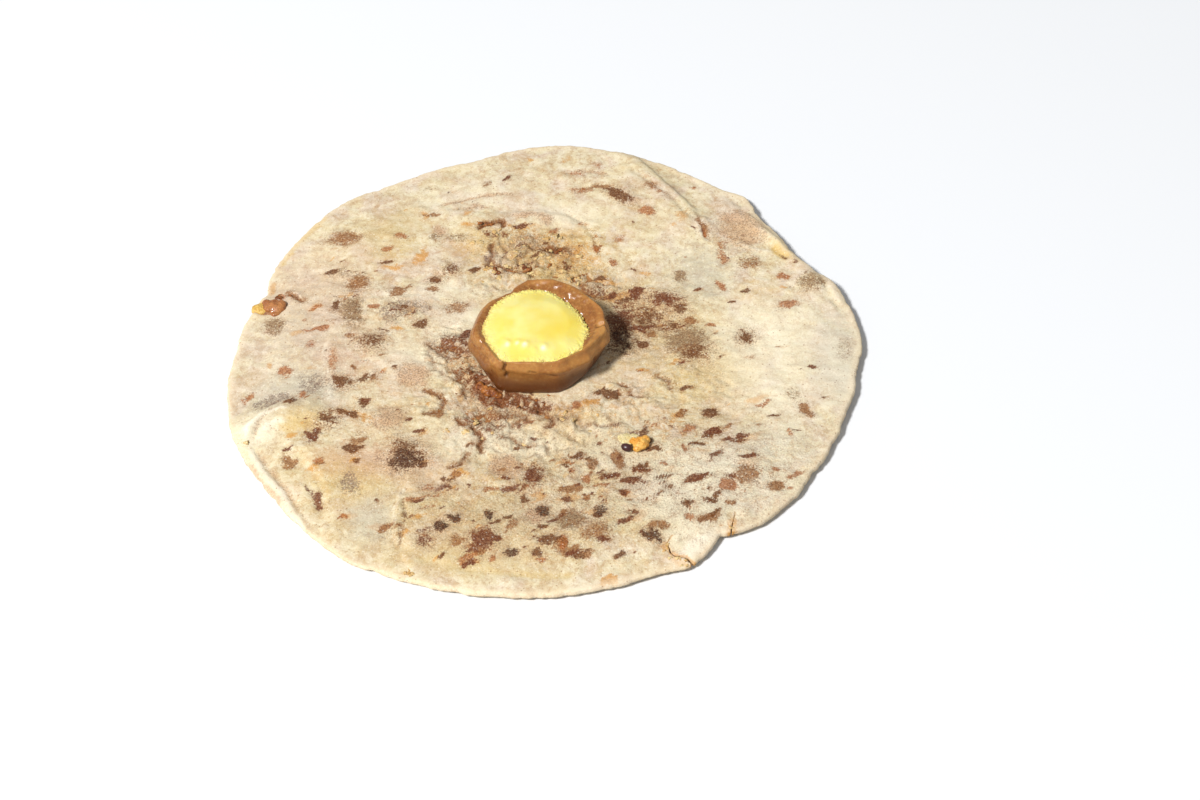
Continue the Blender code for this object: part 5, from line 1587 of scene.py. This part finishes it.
def keep_wetness(piece):
    """Keeps where the cup is wet, the painted shade on its lower wall and soaked foot, and in its
    cracks.
    """
    points = points_of(piece)
    height = points[:, 2]
    turn, reach = round_wall(points)
    outwards = smooth((reach - 14) / 2)
    inner = smooth((17.0 - reach) / 1.6) * smooth((height - CUP_INSIDE[0]) / CUP_INSIDE[1])
    grease = outwards * smooth(1.4 - np.abs(turn - 195) / 50)
    at_foot = smooth((5.2 - height) / 1.4)
    keep(piece, "wet", np.maximum.reduce([0.6 * inner, 0.5 * grease, 0.9 * at_foot]))
    # Painted shade on the lower wall, deepening towards the bottom, with the soaking at its foot
    keep(piece, "foot", smooth((13.0 - height) / 6.0) * outwards)
    # Painted shade in the cracks and creases pressed into the outside
    cracks = sum(
        dark * stroke_share(points, line, 0.8 * half_width)
        for line, half_width, _, dark in CUP_STROKES
    )
    keep(piece, "dark", np.clip(cracks, 0, 1) * 0.9 * smooth((reach - 15) / 1.5))


cup = copy_of("jaggery_cup", "jaggery_cup_dough", jaggery_material())
knead(cup, CUP_FINENESS, CUP_EVENED)
swell(cup, pressed)
keep_wetness(cup)
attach(cup, "root")
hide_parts("jaggery_cup")

# ---------------------------------------------------------------------------------------------
# The ghee: clarified butter set to a soft pale yellow, poured in to the cup's brim. It is smooth
# in the middle and granular where it meets the cup.

GHEE_FINENESS = 0.22
GHEE_EVENED = 14
GHEE_DOME = 1.1  # how much higher the middle stands than the edge
GHEE_REACH = 15  # how far from the middle the dome has come down
GHEE_TOP = (10.5, 1.5)  # the height that the top starts at, and how fast
GHEE_EDGE = 2.6  # how far in from the pool's edge it is granular
GHEE_EDGE_BINS, GHEE_EDGE_NEAR = 121, 0.06  # places round the edge, and radians that each reads
# The edge's raggedness outwards and the top's unevenness: height, span, seed, octaves
GHEE_RAGGED = [(0.4, 2.4, 32, 1), (0.35, 0.8, 31, 2)]
GHEE_GRAINY = [(0.26, 1.1, 33, 2), (0.30, 0.5, 35, 1)]
GHEE_WAVE = (0.14, 5.0, 34, 1)
GHEE_OUT = 1.1  # how far the edge runs out to the cup's wall
# Towards one side the pool leaves more of the wall bare: degrees, to each side, how much
GHEE_SHORT = (32, 36, 1.3)
# Soft dimples and drops in the surface: place, half width, how high
GHEE_DIMPLES = [
    ((-10.9, -11.8), 1.0, -0.32), ((-8.2, -11.6), 0.9, -0.28), ((-6.0, -12.4), 1.1, -0.32),
    ((-0.9, -13.4), 1.1, -0.38), ((2.0, -7.5), 4.5, 0.3), ((-6.4, -13.4), 1.1, -0.3),
    ((-11.8, -11.2), 1.2, -0.3), ((-3.6, -14.6), 1.0, -0.25), ((-2.6, -11.2), 1.4, 0.22),
    ((5.0, -12.0), 1.5, -0.22), ((-8.0, 2.0), 2.6, -0.2), ((4.0, 4.0), 2.4, -0.18),
]
# Painted highlights near the front, soft glints laid on as paler spots: place, half width, how much
GHEE_GLINT_SPOTS = [
    ((-11.2, -12.4), 0.7, 0.8), ((-8.5, -12.2), 0.6, 0.7), ((-6.3, -13.0), 0.8, 0.9),
    ((-1.2, -14.1), 0.75, 1.0),
]
# Where the butter is deeper yellow: place, half width, how much
GHEE_DEEP = [((1.4, -7.2), 4.0, 0.7), ((-6.0, -15.6), 4.0, 0.5), ((7.4, -4.0), 4.4, 0.55)]
GHEE_TINTS = ((239, 227, 140), (238, 218, 106))
GHEE_DEEP_TINT, GHEE_GLINT_TINT = (235, 208, 68), (252, 247, 208)
GHEE_EDGE_TINT, GHEE_THIN_TINT = (224, 212, 128), (196, 158, 84)
GHEE_RADIUS = (0.004, 0.003, 0.001)
GRAINS = 900  # set grains of butter fat along the edge
GRAIN_SIZES = (0.14, 0.36)
GRAIN_LONG = 1.5  # a grain's length over its width
GRAIN_OVERHANG = 0.35  # how far out over the edge a grain may lie
GRAIN_LOOK = (17.0, 8, 0.15)  # the edge is looked for from here inwards, to here, in such steps
GRAIN_DULL = 0.4  # how far the grains' look is that of the edge


def ghee_material():
    """Set ghee: pale yellow, deeper in places, with painted highlights, dull and thin at its granular
    edge.
    """
    made, tree, shader = new_material("ghee")
    place = in_mm(tree)
    soft = ranged(tree, noise_at(tree, place, 0.14), 0.4, 0.66)
    edge = grainy(tree, amount(tree, "edge"), 0.6, 1.6, 0.4)
    thin = grainy(tree, ranged(tree, amount(tree, "edge"), 0.40, 0.98), 0.9, 1.7, 0.35)
    colour = mixed(tree, soft, *(linear(*tint) for tint in GHEE_TINTS))
    colour = tinted(tree, colour, amount(tree, "deep"), GHEE_DEEP_TINT)
    # Painted highlights: soft glints laid on as paler spots
    colour = tinted(tree, colour, amount(tree, "pale"), GHEE_GLINT_TINT)
    colour = tinted(tree, colour, times(tree, edge, 0.8), GHEE_EDGE_TINT)
    colour = tinted(tree, colour, times(tree, thin, 0.85), GHEE_THIN_TINT)
    tree.links.new(colour, shader.inputs["Base Color"])
    tree.links.new(ranged(tree, edge, 0, 1, 0.32, 0.6), shader.inputs["Roughness"])
    shader.inputs["Subsurface Weight"].default_value = 0.35
    shader.inputs["Subsurface Radius"].default_value = GHEE_RADIUS
    bumped(tree, shader, times(tree, noise_at(tree, place, 2.2, 3.0), edge), 0.3, 0.0002)
    return made


def at_edge(points):
    """1 at the ghee's edge, 0 more than about 2 mm inside it."""
    turn, far = round_cup(points[:, 0], points[:, 1])
    bins = np.linspace(-math.pi, math.pi, GHEE_EDGE_BINS)
    widest = [far[np.abs(turned(turn, b)) < GHEE_EDGE_NEAR].max() for b in bins]
    return smooth(1 - (np.interp(turn, bins, widest) - far) / GHEE_EDGE)


def waves(points, layers):
    """The sum of several layers of unevenness."""
    return sum(height * rough(points, span, seed, octaves) for height, span, seed, octaves in layers)


def pour(piece):
    """Domes the ghee's top, runs its edge out to the cup's uneven wall and dimples it."""
    points = points_of(piece)
    edge = at_edge(points)
    turn, far = round_cup(points[:, 0], points[:, 1])
    towards, half, much = GHEE_SHORT
    short = much * smooth(1.5 - np.abs(np.degrees(turn) - towards) / half)
    ragged = edge * (GHEE_OUT - short + waves(points, GHEE_RAGGED))
    out = (points[:, :2] - CUP_MIDDLE) / np.maximum(far, 1)[:, None]
    points[:, :2] += out * ragged[:, None]
    rise = GHEE_DOME * (1 - (far / GHEE_REACH) ** 2)
    rise = rise + edge * waves(points, GHEE_GRAINY) + waves(points, [GHEE_WAVE])
    for (x, y), half_width, depth in GHEE_DIMPLES:
        rise -= depth * hump(np.hypot(points[:, 0] - x, points[:, 1] - y), half_width)
    points[:, 2] += rise * smooth((points[:, 2] - GHEE_TOP[0]) / GHEE_TOP[1])
    move_points(piece, points)


def keep_tints(piece):
    """Keeps how near the edge each point is, where the ghee is deeper, and its painted highlights."""
    points = points_of(piece)
    keep(piece, "edge", at_edge(points))
    for name, spots in (("deep", GHEE_DEEP), ("pale", GHEE_GLINT_SPOTS)):
        share = sum(
            much * hump(np.hypot(points[:, 0] - x, points[:, 1] - y), wide)
            for (x, y), wide, much in spots
        )
        keep(piece, name, share)


def grains(pool, name):
    """Small set grains strewn on the pool's edge, as one mesh."""
    tree = tree_of(pool.data)
    draw = random.Random(8)
    bm = bmesh.new()
    for _ in range(GRAINS):
        turn, (far, nearest, step) = draw.random() * math.tau, GRAIN_LOOK
        way = np.array([math.cos(turn), math.sin(turn)])
        while far > nearest:
            hit = first_hit(tree, *(CUP_MIDDLE + far * way))
            if hit and hit.z / MM > GHEE_TOP[0]:
                break
            far -= step
        far -= abs(draw.gauss(0, 1.0)) - GRAIN_OVERHANG
        x, y = CUP_MIDDLE + far * way
        height = (first_hit(tree, x, y) or hit).z
        span = draw.uniform(*GRAIN_SIZES)
        for vert in bmesh.ops.create_icosphere(bm, subdivisions=1, radius=0.5)["verts"]:
            push = 1 + 0.5 * noise.noise(vert.co * 3 + Vector((turn * 9, far, 0)))
            px, py = vert.co.x * GRAIN_LONG * span * push, vert.co.y * span * push
            vert.co = MM * Vector((x + px, y + py, vert.co.z * span)) + Vector((0, 0, height))
    piece = mesh_piece(name, bm, pool.data.materials[0])
    keep(piece, "edge", np.full(len(piece.data.vertices), GRAIN_DULL))
    return piece


ghee = copy_of("ghee", "ghee_pool", ghee_material())
knead(ghee, GHEE_FINENESS, GHEE_EVENED)
pour(ghee)
keep_tints(ghee)
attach(ghee, "root")
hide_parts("ghee")
fringe = grains(ghee, "ghee_grains")
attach(fringe, "root")

# ---------------------------------------------------------------------------------------------
# Loose on the bread: a broken crumb of the yellow filling with a thin pale flake of it, and
# beside them a dark round seed. They were dropped there.

# Lumps that are pressed into one: middle, size, turn in degrees
CRUMB = [
    ((25.4, -39.9, 4.9), (4.6, 4.2, 3.0), 10), ((26.6, -38.6, 5.0), (2.6, 2.8, 2.6), 60),
    ((24.6, -41.4, 4.6), (3.0, 1.8, 2.0), 20), ((23.6, -38.8, 4.6), (2.6, 2.4, 2.0), -20),
]
CRUMB_FINENESS, CRUMB_LUMPS = 0.16, [(1.3, 0.26), (0.5, 0.12)]
FLAKE = [((21.8, -37.4, 4.1), (5.4, 4.2, 0.9), -20), ((23.4, -37.0, 4.2), (3.4, 3.2, 0.8), 40)]
FLAKE_FINENESS, FLAKE_LUMPS = 0.14, [(1.4, 0.20), (0.5, 0.08)]
SEED = [((21.6, -41.5, 5.0), (3.2, 2.3, 2.2), -24)]
SEED_FINENESS, SEED_LUMPS = 0.14, [(0.9, 0.08)]
SEED_TINTS = ((82, 46, 44), (46, 26, 26))

fresh = paste_material("fresh_crumb", (236, 194, 104), (222, 150, 52), 0.25)
crumb = blobs("loose_crumb", CRUMB, CRUMB_FINENESS, CRUMB_LUMPS, fresh)
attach(crumb, "root")
pale = paste_material("pale_flake", (228, 212, 164), (214, 192, 128), 0.1)
flake = blobs("pale_flake", FLAKE, FLAKE_FINENESS, FLAKE_LUMPS, pale)
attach(flake, "root")

seed_finish, tree, shader = new_material("dark_seed")
coat = noise_at(tree, in_mm(tree), 1.4, 3.0)
colour = mixed(tree, coat, *(linear(*tint) for tint in SEED_TINTS))
tree.links.new(colour, shader.inputs["Base Color"])
tree.links.new(ranged(tree, coat, 0.3, 0.7, 0.22, 0.42), shader.inputs["Roughness"])
seed = blobs("dark_seed", SEED, SEED_FINENESS, SEED_LUMPS, seed_finish)
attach(seed, "root")
